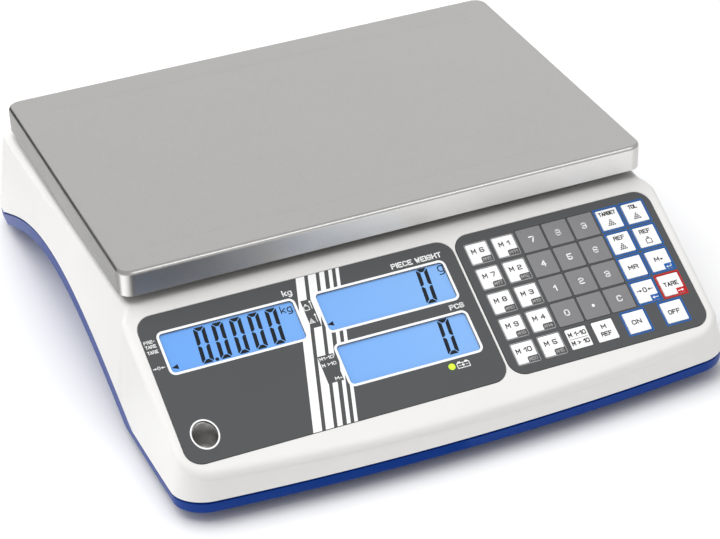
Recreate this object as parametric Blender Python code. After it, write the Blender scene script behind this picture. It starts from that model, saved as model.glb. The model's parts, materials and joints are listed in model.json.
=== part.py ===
"""Counting scale: stainless weighing tray on a single-point load cell, in a two-part
plastic housing with three displays and a membrane keypad.

Sizes are in millimetres and are turned to metres when a mesh is made. +Z is up, +X is the
operator's right and -Y faces the operator. The origin is under the middle of the housing,
on the surface that the feet stand on.
"""

import math

import bmesh
import bpy
from mathutils import Vector

MM = 0.001
GAP = 0.3

# Housing in plan: a rounded rectangle with a bowed front and slightly bowed sides.
# The rear wall leans in, so that the deck ends well in front of the base.
HALF_WIDTH = 178.0
HALF_DEPTH = 195.0
CORNER_RADIUS = 20.0
REAR_CORNER_RADIUS = 17.0
DECK_REAR_Y = 158.0
DECK_CORNER_RADIUS = 9.0
FRONT_BOW = 10.0
SIDE_BOW = 2.7
WIDEST_Y = -42.0
CORNER_STEPS = 8
WALL = 2.6

# Housing from the side: a level deck under the tray and a sloped control panel.
DECK_Z = 86.0
DECK_THICKNESS = 4.0
SHOULDER = 4.0
PANEL_ANGLE = math.radians(28.73)
PANEL_COS = math.cos(PANEL_ANGLE)
PANEL_Y = -175.9
PANEL_Z = 34.5
EDGE_RADIUS = 4.0
PANEL_EDGE_INSET = 4.0
DECK_EDGE_INSETS = (9.4, 1.1)
WING_START_Y, WING_END_Y = -90.0, -79.0

# Parting line of the two housing halves, and the hand grips under both sides.
BASE_BOTTOM_Z = 7.0
BASE_FLOOR_Z = 9.5
PARTING_Z = 15.5
PARTING_GAP = 0.6
PARTING_RISE = 42.0
PARTING_ARCH = (-104.0, 170.0)
GRIP_RISE = 42.0
GRIP_ARCH = (-92.5, 168.0)
GRIP_INNER_X = 148.0
GRIP_DRAFT = 0.78
GRIP_WALL = 2.4

# Weighing tray and its carrier.
TRAY_TOP_Z = 108.0
TRAY_SIZE = (340.0, 230.0)
TRAY_CENTRE_Y = 33.5
TRAY_SKIRT = 16.5
TRAY_SHEET = 1.2
TRAY_BEND = 2.5
TRAY_CORNER = 9.0
CARRIER_BOTTOM_Z = 90.5
CARRIER_HEIGHT = 10.0
CARRIER_PLATE = (85.0, 40.0)
POST_PLACE = (142.0, 88.0)
POST_RADIUS = 8.0
HUB_SIZE = (36.0, 33.0)

# Load cell: an aluminium beam held at its left end and loaded at its right end.
CELL_SIZE = (150.0, 40.0, 22.0)
CELL_BOTTOM_Z = 24.0
CELL_END_X = 53.0
CELL_SPACER = (40.0, 36.0)
TOP_SPACER_HEIGHT = 5.7
DECK_OPENING = (52.0, 49.0)

# Levelling feet.
FOOT_X = 130.0
FOOT_Y = 159.0
PAD_RADIUS = 12.0
PAD_HEIGHT = 6.0
SCREW_RADIUS = 4.0
SCREW_BOTTOM_Z = 2.3
SCREW_TOP_Z = 22.0
BOSS_RADIUS = 8.0
BOSS_TOP_Z = 20.0

# Control panel. u runs to the right, v up the slope and n out of the panel.
DISPLAY_U = (-166.7, 32.4)
KEYPAD_U = (34.4, 166.3)
OVERLAY_V = (0.0, 98.1)
OVERLAY_CORNER = 10.0
OVERLAY_TOP_N = 0.1
DISPLAY_THICKNESS = 0.8
DISPLAY_RECESS = 1.0
KEYPAD_THICKNESS = 1.7
KEYPAD_RECESS = 2.0
WINDOWS = {
    "lcd_weight": ((-156.2, -73.5), (58.8, 85.0)),
    "lcd_piece_weight": ((-59.2, 22.9), (59.2, 84.6)),
    "lcd_pieces": ((-59.7, 22.9), (22.7, 49.0)),
}
LENS_TOP_N = -0.9
LCD_SHOULDER_N = -3.9
LCD_BACK_N = -9.5
LCD_BORDER = 3.0
LED_UV = (1.4, 17.0)
LED_RADIUS = 2.0
LEVEL_UV = (-151.6, 17.2)
LEVEL_BORE = 7.3
LEVEL_WALL = 0.8
LEVEL_MOUTH_N = -1.1
LEVEL_BOTTOM_Z = 19.0
LEVEL_FLOOR_Z = 21.5
BOARD_U, BOARD_V, BOARD_N = (-130.0, 150.0), (8.0, 90.0), (-12.6, -11.0)

# Keys: memory keys, number keys and bordered function keys on one grid.
KEY_PITCH = 17.67
KEY_FIRST_UV = (47.3, 84.0)
KEY_TOP_N = 0.25
KEY_THICKNESS = 1.15
MEMORY_KEY, NUMBER_KEY, FUNCTION_KEY = 13.6, 16.2, 14.4
KEY_ROWS = (
    ("m6", "m1", "7", "8", "9", "target", "tolerance"),
    ("m7", "m2", "4", "5", "6", "ref_pieces", "ref_weight"),
    ("m8", "m3", "1", "2", "3", "memory_recall", "memory_add"),
    ("m9", "m4", "0", "point", "clear", "zero", "tare"),
    ("m10", "m5", "memory_bank", "memory_ref", "on", "off"),
)
KEY_SIZES = (MEMORY_KEY,) * 2 + (NUMBER_KEY,) * 3 + (FUNCTION_KEY,) * 2
BOTTOM_ROW_SIZES = (MEMORY_KEY,) * 4 + (FUNCTION_KEY,) * 2
POWER_KEYS_U = {"on": 121.5, "off": 147.0}

# Battery in the base, its cover in the base's floor, and the power socket in the rear wall.
BATTERY_SIZE = (101.0, 70.0, 47.0)
BATTERY_Y = 108.0
BATTERY_BOTTOM_Z = 11.0
COVER_OPENING = (108.0, 76.0)
COVER_THICKNESS = 2.2
JACK_SIZE = (11.0, 14.0, 10.0)
JACK_X, JACK_Z = 110.0, 40.0
JACK_FACE_Y = 183.0
JACK_BORE = 3.2
JACK_BORE_DEPTH = 9.0


def clear_scene():
    for obj in list(bpy.data.objects):
        bpy.data.objects.remove(obj, do_unlink=True)


def linear(channel):
    return channel / 12.92 if channel <= 0.04045 else ((channel + 0.055) / 1.055) ** 2.4


def material(name, hex_colour, roughness, metallic=0.0):
    """Principled material in an sRGB colour. A second call with the same name reuses it."""
    made = bpy.data.materials.get(name)
    if made:
        return made
    made = bpy.data.materials.new(name)
    made.use_nodes = True
    shader = made.node_tree.nodes["Principled BSDF"]
    channels = [int(hex_colour[i : i + 2], 16) / 255 for i in (0, 2, 4)]
    shader.inputs["Base Color"].default_value = [*map(linear, channels), 1]
    shader.inputs["Roughness"].default_value = roughness
    shader.inputs["Metallic"].default_value = metallic
    return made


def smoothstep(value, start, end):
    t = min(max((value - start) / (end - start), 0), 1)
    return t * t * (3 - 2 * t)


# ---------------------------------------------------------------- meshes


def add_object(name, bm, finish=None, parent=None, place=(0, 0, 0), smooth=True):
    """Object from a bmesh in millimetres; place is its origin, in its parent's millimetres."""
    bmesh.ops.translate(bm, verts=bm.verts, vec=-Vector(place))
    bmesh.ops.scale(bm, verts=bm.verts, vec=(MM, MM, MM))
    bmesh.ops.recalc_face_normals(bm, faces=bm.faces)
    mesh = bpy.data.meshes.new(name)
    bm.to_mesh(mesh)
    bm.free()
    if smooth:
        mesh.shade_smooth()
        mesh.set_sharp_from_angle(angle=math.radians(30))
    obj = bpy.data.objects.new(name, mesh)
    bpy.context.scene.collection.objects.link(obj)
    obj.location = Vector(place) * MM
    obj.parent = parent
    if finish:
        mesh.materials.append(finish)
    else:
        obj.hide_render = True
        obj.display_type = "WIRE"
    return obj


def cut(obj, other, operation="DIFFERENCE"):
    boolean = obj.modifiers.new(other.name, "BOOLEAN")
    boolean.operation = operation
    boolean.solver = "EXACT"
    boolean.object = other


def loft(bm, rings, cap_first=True, cap_last=True):
    """Skin rings of equal length, with one flat face over each end."""
    loops = [[bm.verts.new(point) for point in ring] for ring in rings]
    count = len(loops[0])
    for lower, upper in zip(loops, loops[1:]):
        for i in range(count):
            j = (i + 1) % count
            bm.faces.new((lower[i], lower[j], upper[j], upper[i]))
    if cap_first:
        bm.faces.new(loops[0][::-1])
    if cap_last:
        bm.faces.new(loops[-1])
    return loops


def box(bm, low, high):
    """Box between two corners."""
    (x0, y0, z0), (x1, y1, z1) = low, high
    corners = ((x0, y0), (x1, y0), (x1, y1), (x0, y1))
    loft(bm, [[(x, y, z) for x, y in corners] for z in (z0, z1)])


def centred_box(bm, size, x, y, bottom_z):
    """Box of a given size over the point (x, y)."""
    low = (x - size[0] / 2, y - size[1] / 2, bottom_z)
    box(bm, low, (x + size[0] / 2, y + size[1] / 2, bottom_z + size[2]))


def circle(x, y, z, radius, sides=32):
    turn = 2 * math.pi / sides
    return [
        (x + radius * math.cos(turn * i), y + radius * math.sin(turn * i), z)
        for i in range(sides)
    ]


def oval(x, y, height, half_x, half_y, sides=32):
    """Ellipse of points. height is a rule of y."""
    points = []
    for i in range(sides):
        angle = 2 * math.pi / sides * i
        point_y = y + half_y * math.sin(angle)
        points.append((x + half_x * math.cos(angle), point_y, height(point_y)))
    return points


def rounded(x_range, y_range, z, radius, steps=6):
    """Rounded rectangle between two pairs of limits."""
    points = []
    corners = (
        (x_range[1], y_range[1], -1, -1, 0),
        (x_range[0], y_range[1], 1, -1, 90),
        (x_range[0], y_range[0], 1, 1, 180),
        (x_range[1], y_range[0], -1, 1, 270),
    )
    for x, y, to_x, to_y, start in corners:
        for i in range(steps + 1):
            angle = math.radians(start + 90 * i / steps)
            centre = (x + to_x * radius, y + to_y * radius)
            points.append(
                (centre[0] + radius * math.cos(angle), centre[1] + radius * math.sin(angle), z)
            )
    return points


def grown(limits, by):
    return limits[0] - by, limits[1] + by


# ---------------------------------------------------------------- housing outline


def side_width(y):
    return HALF_WIDTH - SIDE_BOW * ((y - WIDEST_Y) / 200) ** 2


def bowed(x, y):
    towards_front = max(-y / HALF_DEPTH, 0) ** 4
    return Vector(
        (
            x * side_width(y) / HALF_WIDTH,
            y + FRONT_BOW * (x / HALF_WIDTH) ** 2 * towards_front,
        )
    )


def half_outline(rear_y, rear_radius):
    """Right half of a plan outline, from the rear corner to the middle of the front, with
    the outward direction at each point."""
    arc = [math.pi / 2 * i / CORNER_STEPS for i in range(CORNER_STEPS + 1)]
    corners = []
    for radius, end_y, to_end in ((rear_radius, rear_y, 1), (CORNER_RADIUS, -HALF_DEPTH, -1)):
        centre_x, centre_y = HALF_WIDTH - radius, end_y - to_end * radius
        corners.append(
            [
                (centre_x + radius * math.sin(a), centre_y + to_end * radius * math.cos(a))
                for a in arc
            ]
        )
    stretch = (rear_y - rear_radius) / REAR_STATIONS.start
    sides = [y * stretch for y in REAR_STATIONS[1:]] + [*FRONT_STATIONS]
    front = [((HALF_WIDTH - CORNER_RADIUS) * i / 8, -HALF_DEPTH) for i in range(7, -1, -1)]
    square = corners[0] + [(HALF_WIDTH, y) for y in sides] + corners[1][::-1] + front
    points = [bowed(*point) for point in square]
    outward = [Vector((0, 1))]
    for before, after in zip(points, points[2:]):
        along = (after - before).normalized()
        outward.append(Vector((-along.y, along.x)))
    outward.append(Vector((0, -1)))
    return list(zip(points, outward))


# Stations along the side, closest where the deck turns down into the panel.
REAR_STATIONS = range(176, 0, -8)
FRONT_STATIONS = [*range(0, -62, -8), *range(-64, -102, -2), *range(-106, -172, -8)]
BASE_OUTLINE = half_outline(HALF_DEPTH, REAR_CORNER_RADIUS)
TOP_OUTLINE = half_outline(DECK_REAR_Y, DECK_CORNER_RADIUS)


def top_z(y):
    """Height of the housing's top: the deck, rounded over into the sloped panel."""
    slope = PANEL_Z + (y - PANEL_Y) * math.tan(PANEL_ANGLE)
    past = slope - DECK_Z
    if abs(past) >= SHOULDER / 2:
        return min(slope, DECK_Z)
    return DECK_Z - (SHOULDER / 2 - past) ** 2 / (2 * SHOULDER)


def parting_z(y):
    start, end = PARTING_ARCH
    if not start < y < end:
        return PARTING_Z
    return PARTING_Z + PARTING_RISE * math.sin(math.pi * (y - start) / (end - start))


def grip_z(y):
    """Height of the lower edge of the base's side, along the hand grip's arch."""
    start, end = GRIP_ARCH
    return BASE_BOTTOM_Z + GRIP_RISE * math.sin(math.pi * (y - start) / (end - start))


def edge_inset(y):
    """How far the top edge stands in from the widest outline: most at the deck's front."""
    deck = smoothstep(y, WING_START_Y, WING_END_Y)
    along = min(max((y - WING_END_Y) / (DECK_REAR_Y - WING_END_Y), 0), 1)
    beside = DECK_EDGE_INSETS[0] + (DECK_EDGE_INSETS[1] - DECK_EDGE_INSETS[0]) * along
    return PANEL_EDGE_INSET + (beside - PANEL_EDGE_INSET) * deck


def ring(outline, inset, height):
    """Loop of points round the housing. inset and height are rules of y."""
    half = []
    for point, outward in outline:
        moved = point - outward * inset(point.y)
        half.append((moved.x, moved.y, height(moved.y)))
    return half + [(-x, y, z) for x, y, z in half[-2::-1]]


def level(value):
    return lambda y: value


def cap(bm, loop):
    """Close a loop with strips from its right side to its left."""
    count = len(loop)
    for i in range(count // 2):
        right, next_right = loop[i], loop[i + 1]
        left, next_left = loop[-1 - i], loop[-2 - i]
        bm.faces.new(dict.fromkeys((right, next_right, next_left, left)))


def open_shell(outer_rings, inner_rings):
    """Shell whose rim joins the first outer ring to the first inner one."""
    bm = bmesh.new()
    rings = [*reversed(outer_rings), *inner_rings]
    loops = loft(bm, rings, cap_first=False, cap_last=False)
    cap(bm, loops[0])
    cap(bm, loops[-1])
    return bm


# ---------------------------------------------------------------- housing


def make_upper_housing(panel):
    """White upper half: flared walls, a soft top edge, the deck and the sloped panel."""

    def top_ring(inward, drop):
        return ring(TOP_OUTLINE, lambda y: edge_inset(y) + inward, lambda y: top_z(y) - drop)

    rings = [ring(BASE_OUTLINE, level(0), parting_z)]
    for i in range(4):
        angle = math.pi / 6 * i
        inward = EDGE_RADIUS * (1 - math.cos(angle))
        rings.append(top_ring(inward, EDGE_RADIUS * (1 - math.sin(angle))))
    inside = [
        ring(BASE_OUTLINE, level(WALL), parting_z),
        top_ring(WALL, DECK_THICKNESS),
    ]
    bm = open_shell(rings, inside)
    white = material("white_abs", "ECEBE9", 0.38)
    housing = add_object("upper_housing", bm, white)
    cut(housing, panel_recesses(panel))
    cut(housing, panel_windows(panel))
    cut(housing, upright_openings())


def panel_recesses(panel):
    """Two shallow beds that the overlays lie in."""
    bm = bmesh.new()
    for limits, depth in ((DISPLAY_U, DISPLAY_RECESS), (KEYPAD_U, KEYPAD_RECESS)):
        bed = [grown(limits, GAP), grown(OVERLAY_V, GAP)]
        radius = OVERLAY_CORNER + GAP
        loft(bm, [rounded(*bed, n, radius) for n in (-depth, 5)])
    return add_object("panel_recess_cutter", bm, parent=panel)


def panel_windows(panel):
    """Openings through the panel for the three displays and the lamp."""
    bm = bmesh.new()
    for u, v in WINDOWS.values():
        box(bm, (u[0], v[0], -20), (u[1], v[1], 5))
    loft(bm, [circle(*LED_UV, n, LED_RADIUS + 0.6) for n in (-20, 5)])
    return add_object("panel_window_cutter", bm, parent=panel)


def upright_openings():
    """Holes for the carrier's hub, the power socket and the bubble level's well."""
    bm = bmesh.new()
    loft(bm, [level_ring(LEVEL_WALL + 0.4, level(z)) for z in (LEVEL_BOTTOM_Z - 5, DECK_Z)])
    centred_box(bm, (*DECK_OPENING, 20), CELL_END_X, TRAY_CENTRE_Y, DECK_Z - 10)
    width, depth, height = (side + 2 * GAP for side in JACK_SIZE)
    centred_box(bm, (width, 2 * depth, height), JACK_X, JACK_FACE_Y, JACK_Z - height / 2)
    return add_object("housing_opening_cutter", bm)


def grip_solid(bm, side, inner_x, outer_x, bottom_z, above, y_range, steps=26):
    """Body under the grip's arch, from inner_x out to outer_x(y). Its roof falls inwards."""
    sections = []
    for i in range(steps + 1):
        y = y_range[0] + (y_range[1] - y_range[0]) * i / steps
        roof = grip_z(y) + above
        inner_roof = BASE_BOTTOM_Z + (grip_z(y) - BASE_BOTTOM_Z) * GRIP_DRAFT + above
        sections.append(
            [
                (side * inner_x, y, bottom_z),
                (side * outer_x(y), y, bottom_z),
                (side * outer_x(y), y, roof),
                (side * inner_x, y, inner_roof),
            ]
        )
    loft(bm, sections)


def make_lower_housing():
    """Blue base: a tray with a low rim that arches up over a hand grip on each side."""

    def base_ring(inset, height):
        return ring(BASE_OUTLINE, level(inset), height)

    def rim(y):
        return parting_z(y) - PARTING_GAP

    edge = [(0.8, 9.0), (1.2, 7.6), (2.4, BASE_BOTTOM_Z)]
    rings = [base_ring(0.5, rim)] + [base_ring(inset, level(z)) for inset, z in edge]
    inside = [base_ring(0.5 + WALL, rim), base_ring(0.8 + WALL, level(BASE_FLOOR_Z))]
    blue = material("blue_abs", "17408F", 0.42)
    base = add_object("lower_housing", open_shell(rings, inside), blue)
    cut(base, base_additions(), "UNION")
    cut(base, base_openings())


def base_additions():
    """Grip vaults and screw bosses, which stand on the base's floor."""
    bm = bmesh.new()
    inner_x = GRIP_INNER_X - GRIP_WALL
    for side in (-1, 1):
        grip_solid(
            bm, side, inner_x, lambda y: side_width(y) - 1.8, 8.0, GRIP_WALL, GRIP_ARCH
        )
    for x, y in foot_places().values():
        loft(bm, [circle(x, y, z, BOSS_RADIUS) for z in (BASE_FLOOR_Z - 1, BOSS_TOP_Z)])
    return add_object("base_vaults_and_bosses", bm)


def base_openings():
    """Hand grips, bores for the foot screws and the battery's opening."""
    bm = bmesh.new()
    arch = grown(GRIP_ARCH, -1)
    for side in (-1, 1):
        grip_solid(bm, side, GRIP_INNER_X, level(HALF_WIDTH + 10), -5, 0, arch)
    for x, y in foot_places().values():
        loft(bm, [circle(x, y, z, SCREW_RADIUS + 0.5) for z in (0, 30)])
    centred_box(bm, (*COVER_OPENING, 20), 0, BATTERY_Y, 0)
    return add_object("base_opening_cutter", bm)


# ---------------------------------------------------------------- weighing platform


def make_tray():
    """Deep-drawn stainless sheet with a skirt and rounded corners."""
    half_x, half_y = TRAY_SIZE[0] / 2, TRAY_SIZE[1] / 2

    def tray_ring(inset, z):
        limits = [
            (-half_x + inset, half_x - inset),
            (TRAY_CENTRE_Y - half_y + inset, TRAY_CENTRE_Y + half_y - inset),
        ]
        return rounded(*limits, z, max(TRAY_CORNER - inset, 2), 8)

    bottom = TRAY_TOP_Z - TRAY_SKIRT
    outer = [tray_ring(0, bottom)]
    for i in range(5):
        angle = math.pi / 8 * i
        inset = TRAY_BEND * (1 - math.cos(angle))
        outer.append(tray_ring(inset, TRAY_TOP_Z - TRAY_BEND * (1 - math.sin(angle))))
    inner = [tray_ring(TRAY_SHEET, bottom)]
    inner.append(tray_ring(TRAY_SHEET, TRAY_TOP_Z - TRAY_BEND))
    inner.append(tray_ring(TRAY_BEND, TRAY_TOP_Z - TRAY_SHEET))
    bm = bmesh.new()
    loft(bm, [*reversed(outer), *inner])
    add_object("weighing_tray", bm, material("stainless_steel", "B9B8B6", 0.32, 1.0))


def make_tray_carrier():
    """Die-cast spider: a plate with four arms, a post on each arm and a hub underneath."""
    plate_x, plate_y = CARRIER_PLATE
    post_x, post_y = POST_PLACE
    arm = 10.0
    quarter = (
        (plate_x, plate_y - 2 * arm),
        (post_x + arm, post_y - arm),
        (post_x + arm, post_y + arm),
        (post_x - arm, post_y + arm),
        (plate_x - 3 * arm, plate_y),
    )
    corners = list(quarter) + [(-x, y) for x, y in reversed(quarter)]
    corners += [(-x, -y) for x, y in quarter] + [(x, -y) for x, y in reversed(quarter)]
    top_z_of_arms = CARRIER_BOTTOM_Z + CARRIER_HEIGHT
    bm = bmesh.new()
    loft(
        bm,
        [
            [(x, y + TRAY_CENTRE_Y, z) for x, y in corners]
            for z in (CARRIER_BOTTOM_Z, top_z_of_arms)
        ],
    )
    finish = material("cast_aluminium", "A9ABAD", 0.5, 1.0)
    carrier = add_object("tray_carrier", bm, finish)
    cut(carrier, carrier_additions(), "UNION")


def carrier_additions():
    """Posts that the tray lies on, and the hub down to the load cell."""
    post_x, post_y = POST_PLACE
    post_top = TRAY_TOP_Z - TRAY_SHEET - GAP
    bm = bmesh.new()
    for x in (-post_x, post_x):
        for y in (TRAY_CENTRE_Y - post_y, TRAY_CENTRE_Y + post_y):
            rings = [circle(x, y, z, POST_RADIUS) for z in (CARRIER_BOTTOM_Z + 2, post_top)]
            loft(bm, rings)
    bottom = spacer_top_z() + GAP
    height = CARRIER_BOTTOM_Z + 2 - bottom
    centred_box(bm, (*HUB_SIZE, height), CELL_END_X, TRAY_CENTRE_Y, bottom)
    return add_object("carrier_posts_and_hub", bm)


def spacer_top_z():
    return CELL_BOTTOM_Z + CELL_SIZE[2] + GAP + TOP_SPACER_HEIGHT


def make_load_cell():
    """Bending beam with the double bore that makes its thin flexing spots."""
    aluminium = material("machined_aluminium", "C3C5C8", 0.35, 1.0)
    bm = bmesh.new()
    centred_box(bm, CELL_SIZE, 0, TRAY_CENTRE_Y, CELL_BOTTOM_Z)
    cell = add_object("load_cell", bm, aluminium)
    cut(cell, load_cell_bore())
    steel = material("zinc_plated_steel", "9FA3A6", 0.4, 1.0)
    bm = bmesh.new()
    low = BASE_FLOOR_Z + GAP
    size = (*CELL_SPACER, CELL_BOTTOM_Z - GAP - low)
    centred_box(bm, size, -CELL_END_X, TRAY_CENTRE_Y, low)
    add_object("load_cell_base_spacer", bm, steel)
    bm = bmesh.new()
    size = (*CELL_SPACER, TOP_SPACER_HEIGHT)
    low = CELL_BOTTOM_Z + CELL_SIZE[2] + GAP
    centred_box(bm, size, CELL_END_X, TRAY_CENTRE_Y, low)
    add_object("load_cell_top_spacer", bm, steel)


def load_cell_bore():
    """Two round bores along Y, joined by a slot: one outline, pushed through the beam."""
    radius, centre_x, slot = 8.5, 15.0, 2.5
    middle_z = CELL_BOTTOM_Z + CELL_SIZE[2] / 2
    opening = math.asin(slot / radius)
    angles = [opening + (2 * math.pi - 2 * opening) * i / 20 for i in range(21)]
    left = [
        (-centre_x + radius * math.cos(a), middle_z + radius * math.sin(a)) for a in angles
    ]
    outline = left + [(-x, 2 * middle_z - z) for x, z in left]
    bm = bmesh.new()
    loft(bm, [[(x, y, z) for x, z in outline] for y in (0, 2 * TRAY_CENTRE_Y)])
    return add_object("load_cell_bore_cutter", bm)


# ---------------------------------------------------------------- feet


def foot_places():
    return {
        "front_left": (-FOOT_X, -FOOT_Y),
        "front_right": (FOOT_X, -FOOT_Y),
        "rear_left": (-FOOT_X, FOOT_Y),
        "rear_right": (FOOT_X, FOOT_Y),
    }


def make_foot(name, x, y):
    """Rubber pad with a socket, and the threaded stud that turns in it."""
    socket = SCREW_RADIUS + GAP
    socket_z = SCREW_BOTTOM_Z - GAP
    bm = bmesh.new()
    loft(
        bm,
        [
            circle(x, y, socket_z, socket),
            circle(x, y, PAD_HEIGHT, socket),
            circle(x, y, PAD_HEIGHT, PAD_RADIUS - 1.5),
            circle(x, y, PAD_HEIGHT - 1.5, PAD_RADIUS),
            circle(x, y, 1, PAD_RADIUS),
            circle(x, y, 0, PAD_RADIUS - 1),
        ],
    )
    rubber = material("black_rubber", "1B1B1C", 0.85)
    add_object(f"foot_pad_{name}", bm, rubber, place=(x, y, 0))
    bm = bmesh.new()
    rings = [(SCREW_BOTTOM_Z, 1), (SCREW_BOTTOM_Z + 1, 0), (SCREW_TOP_Z - 1, 0)]
    rings.append((SCREW_TOP_Z, 1))
    loft(bm, [circle(x, y, z, SCREW_RADIUS - inset, 24) for z, inset in rings])
    steel = material("zinc_plated_steel", "9FA3A6", 0.4, 1.0)
    add_object(f"foot_screw_{name}", bm, steel, place=(x, y, 0))


# ---------------------------------------------------------------- control panel


def make_overlays(panel):
    """Printed films: the display film with its windows, and the keypad film with its keys'
    openings."""
    film = material("printed_polycarbonate", "57595B", 0.45)
    plates = (
        ("display_overlay", DISPLAY_U, DISPLAY_THICKNESS, display_holes),
        ("keypad_overlay", KEYPAD_U, KEYPAD_THICKNESS, keypad_holes),
    )
    for name, u, thickness, holes in plates:
        bm = bmesh.new()
        levels = (OVERLAY_TOP_N - thickness, OVERLAY_TOP_N)
        loft(bm, [rounded(u, OVERLAY_V, n, OVERLAY_CORNER) for n in levels])
        cut(add_object(name, bm, film, panel), holes(panel))


def display_holes(panel):
    bm = bmesh.new()
    for u, v in WINDOWS.values():
        loft(bm, [rounded(u, v, n, 2.5, 4) for n in (-5, 5)])
    loft(bm, [circle(*LED_UV, n, LED_RADIUS + 0.2) for n in (-5, 5)])
    mouth = LEVEL_BORE + 0.2
    loft(bm, [oval(*LEVEL_UV, level(n), mouth, mouth / PANEL_COS) for n in (-5, 5)])
    return add_object("display_hole_cutter", bm, parent=panel)


def key_places():
    """Name, (u, v) and size of each key."""
    for row, names in enumerate(KEY_ROWS):
        sizes = BOTTOM_ROW_SIZES if names[-1] == "off" else KEY_SIZES
        for column, (name, size) in enumerate(zip(names, sizes)):
            u = POWER_KEYS_U.get(name, KEY_FIRST_UV[0] + KEY_PITCH * column)
            yield name, (u, KEY_FIRST_UV[1] - KEY_PITCH * row), size


def keypad_holes(panel):
    bm = bmesh.new()
    for _, (u, v), size in key_places():
        side = size + 2 * GAP
        centred_box(bm, (side, side, 10), u, v, -5)
    return add_object("keypad_hole_cutter", bm, parent=panel)


def make_keys(panel):
    """Key pads, each on its own place of travel along the panel's normal."""
    finishes = {
        MEMORY_KEY: material("white_key_film", "F4F4F4", 0.45),
        NUMBER_KEY: material("grey_key_film", "848385", 0.45),
        FUNCTION_KEY: material("blue_rimmed_key_film", "F2F5F8", 0.45),
    }
    for name, (u, v), size in key_places():
        bm = bmesh.new()
        bottom = KEY_TOP_N - KEY_THICKNESS
        centred_box(bm, (size, size, KEY_THICKNESS), u, v, bottom)
        finish = finishes[size]
        add_object(f"key_{name}", bm, finish, panel, (u, v, KEY_TOP_N), smooth=False)


def make_displays(panel):
    """Display modules: a body behind the panel and a lens that fills the window."""
    glass = material("backlit_display", "7AADFA", 0.2)
    for name, (u, v) in WINDOWS.items():
        bm = bmesh.new()
        sections = (
            (LCD_BORDER, LCD_BACK_N),
            (LCD_BORDER, LCD_SHOULDER_N),
            (-GAP, LCD_SHOULDER_N),
            (-GAP, LENS_TOP_N),
        )
        rings = [rounded(grown(u, by), grown(v, by), n, 0.5, 1) for by, n in sections]
        loft(bm, rings)
        add_object(name, bm, glass, panel, smooth=False)


def level_ring(grow, height):
    """Outline of the bubble level's upright well. height is a rule of y."""
    y = PANEL_Y + LEVEL_UV[1] * PANEL_COS
    return oval(LEVEL_UV[0], y, height, LEVEL_BORE + grow, LEVEL_BORE + grow)


def make_level():
    """Well of the bubble level. It stands upright, and the sloping panel cuts its mouth."""

    def mouth(y):
        return PANEL_Z + (y - PANEL_Y) * math.tan(PANEL_ANGLE) + LEVEL_MOUTH_N / PANEL_COS

    bm = bmesh.new()
    loft(
        bm,
        [
            level_ring(0, level(LEVEL_FLOOR_Z)),
            level_ring(0, mouth),
            level_ring(LEVEL_WALL, mouth),
            level_ring(LEVEL_WALL, level(LEVEL_BOTTOM_Z)),
        ],
    )
    add_object("level_vial", bm, material("grey_polycarbonate", "8E8F90", 0.3))


def make_charge_led(panel):
    """Light pipe of the charge lamp, from the board up to the film."""
    u, v = LED_UV
    bm = bmesh.new()
    levels = (BOARD_N[1] + GAP, OVERLAY_TOP_N)
    loft(bm, [circle(u, v, n, LED_RADIUS, 24) for n in levels])
    add_object("charge_led", bm, material("green_lamp", "C8FF3C", 0.25), panel)


def make_main_board(panel):
    bm = bmesh.new()
    corners = zip(BOARD_U, BOARD_V, BOARD_N)
    box(bm, *corners)
    board = material("green_circuit_board", "1F6B43", 0.5)
    add_object("main_board", bm, board, panel, smooth=False)


# ---------------------------------------------------------------- power


def make_battery():
    """Sealed lead-acid battery lying on its side over the cover in the base's floor."""
    bm = bmesh.new()
    centred_box(bm, BATTERY_SIZE, 0, BATTERY_Y, BATTERY_BOTTOM_Z)
    casing = material("black_battery_case", "2A2B2D", 0.5)
    add_object("battery_pack", bm, casing, smooth=False)
    bm = bmesh.new()
    size = [side - 2 * GAP for side in COVER_OPENING]
    centred_box(bm, (*size, COVER_THICKNESS), 0, BATTERY_Y, BASE_BOTTOM_Z)
    blue = material("blue_abs", "17408F", 0.42)
    add_object("battery_cover", bm, blue, smooth=False)


def make_power_jack():
    """Low-voltage socket with a round bore, set in the rear wall."""
    bm = bmesh.new()
    centre_y = JACK_FACE_Y - JACK_SIZE[1] / 2
    centred_box(bm, JACK_SIZE, JACK_X, centre_y, JACK_Z - JACK_SIZE[2] / 2)
    black = material("black_nylon", "1E1F21", 0.5)
    jack = add_object("power_jack", bm, black)
    bm = bmesh.new()
    ends = (JACK_FACE_Y - JACK_BORE_DEPTH, JACK_FACE_Y + 5)
    loft(
        bm,
        [
            [(JACK_X + x, y, JACK_Z + z) for x, z, _ in circle(0, 0, 0, JACK_BORE, 24)]
            for y in ends
        ],
    )
    cut(jack, add_object("jack_bore_cutter", bm))


def main():
    clear_scene()
    panel = bpy.data.objects.new("panel_plane", None)
    bpy.context.scene.collection.objects.link(panel)
    panel.location = Vector((0, PANEL_Y, PANEL_Z)) * MM
    panel.rotation_euler = (PANEL_ANGLE, 0, 0)
    make_upper_housing(panel)
    make_lower_housing()
    make_tray()
    make_tray_carrier()
    make_load_cell()
    for name, (x, y) in foot_places().items():
        make_foot(name, x, y)
    make_overlays(panel)
    make_keys(panel)
    make_displays(panel)
    make_level()
    make_charge_led(panel)
    make_main_board(panel)
    make_battery()
    make_power_jack()


main()
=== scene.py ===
"""Counting scale: finished shapes, print, materials and studio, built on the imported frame.

Sizes are in millimetres and are turned to metres when a mesh is made. On the control panel u
runs to the operator's right, v up the slope and n straight out of the panel.
"""

import json
import math

import bmesh  # noqa: E402
import bpy  # noqa: E402
from bpy.props import (  # noqa: E402
    FloatProperty,
    FloatVectorProperty,
    PointerProperty,
    StringProperty,
)
from mathutils import Matrix, Vector  # noqa: E402


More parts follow.
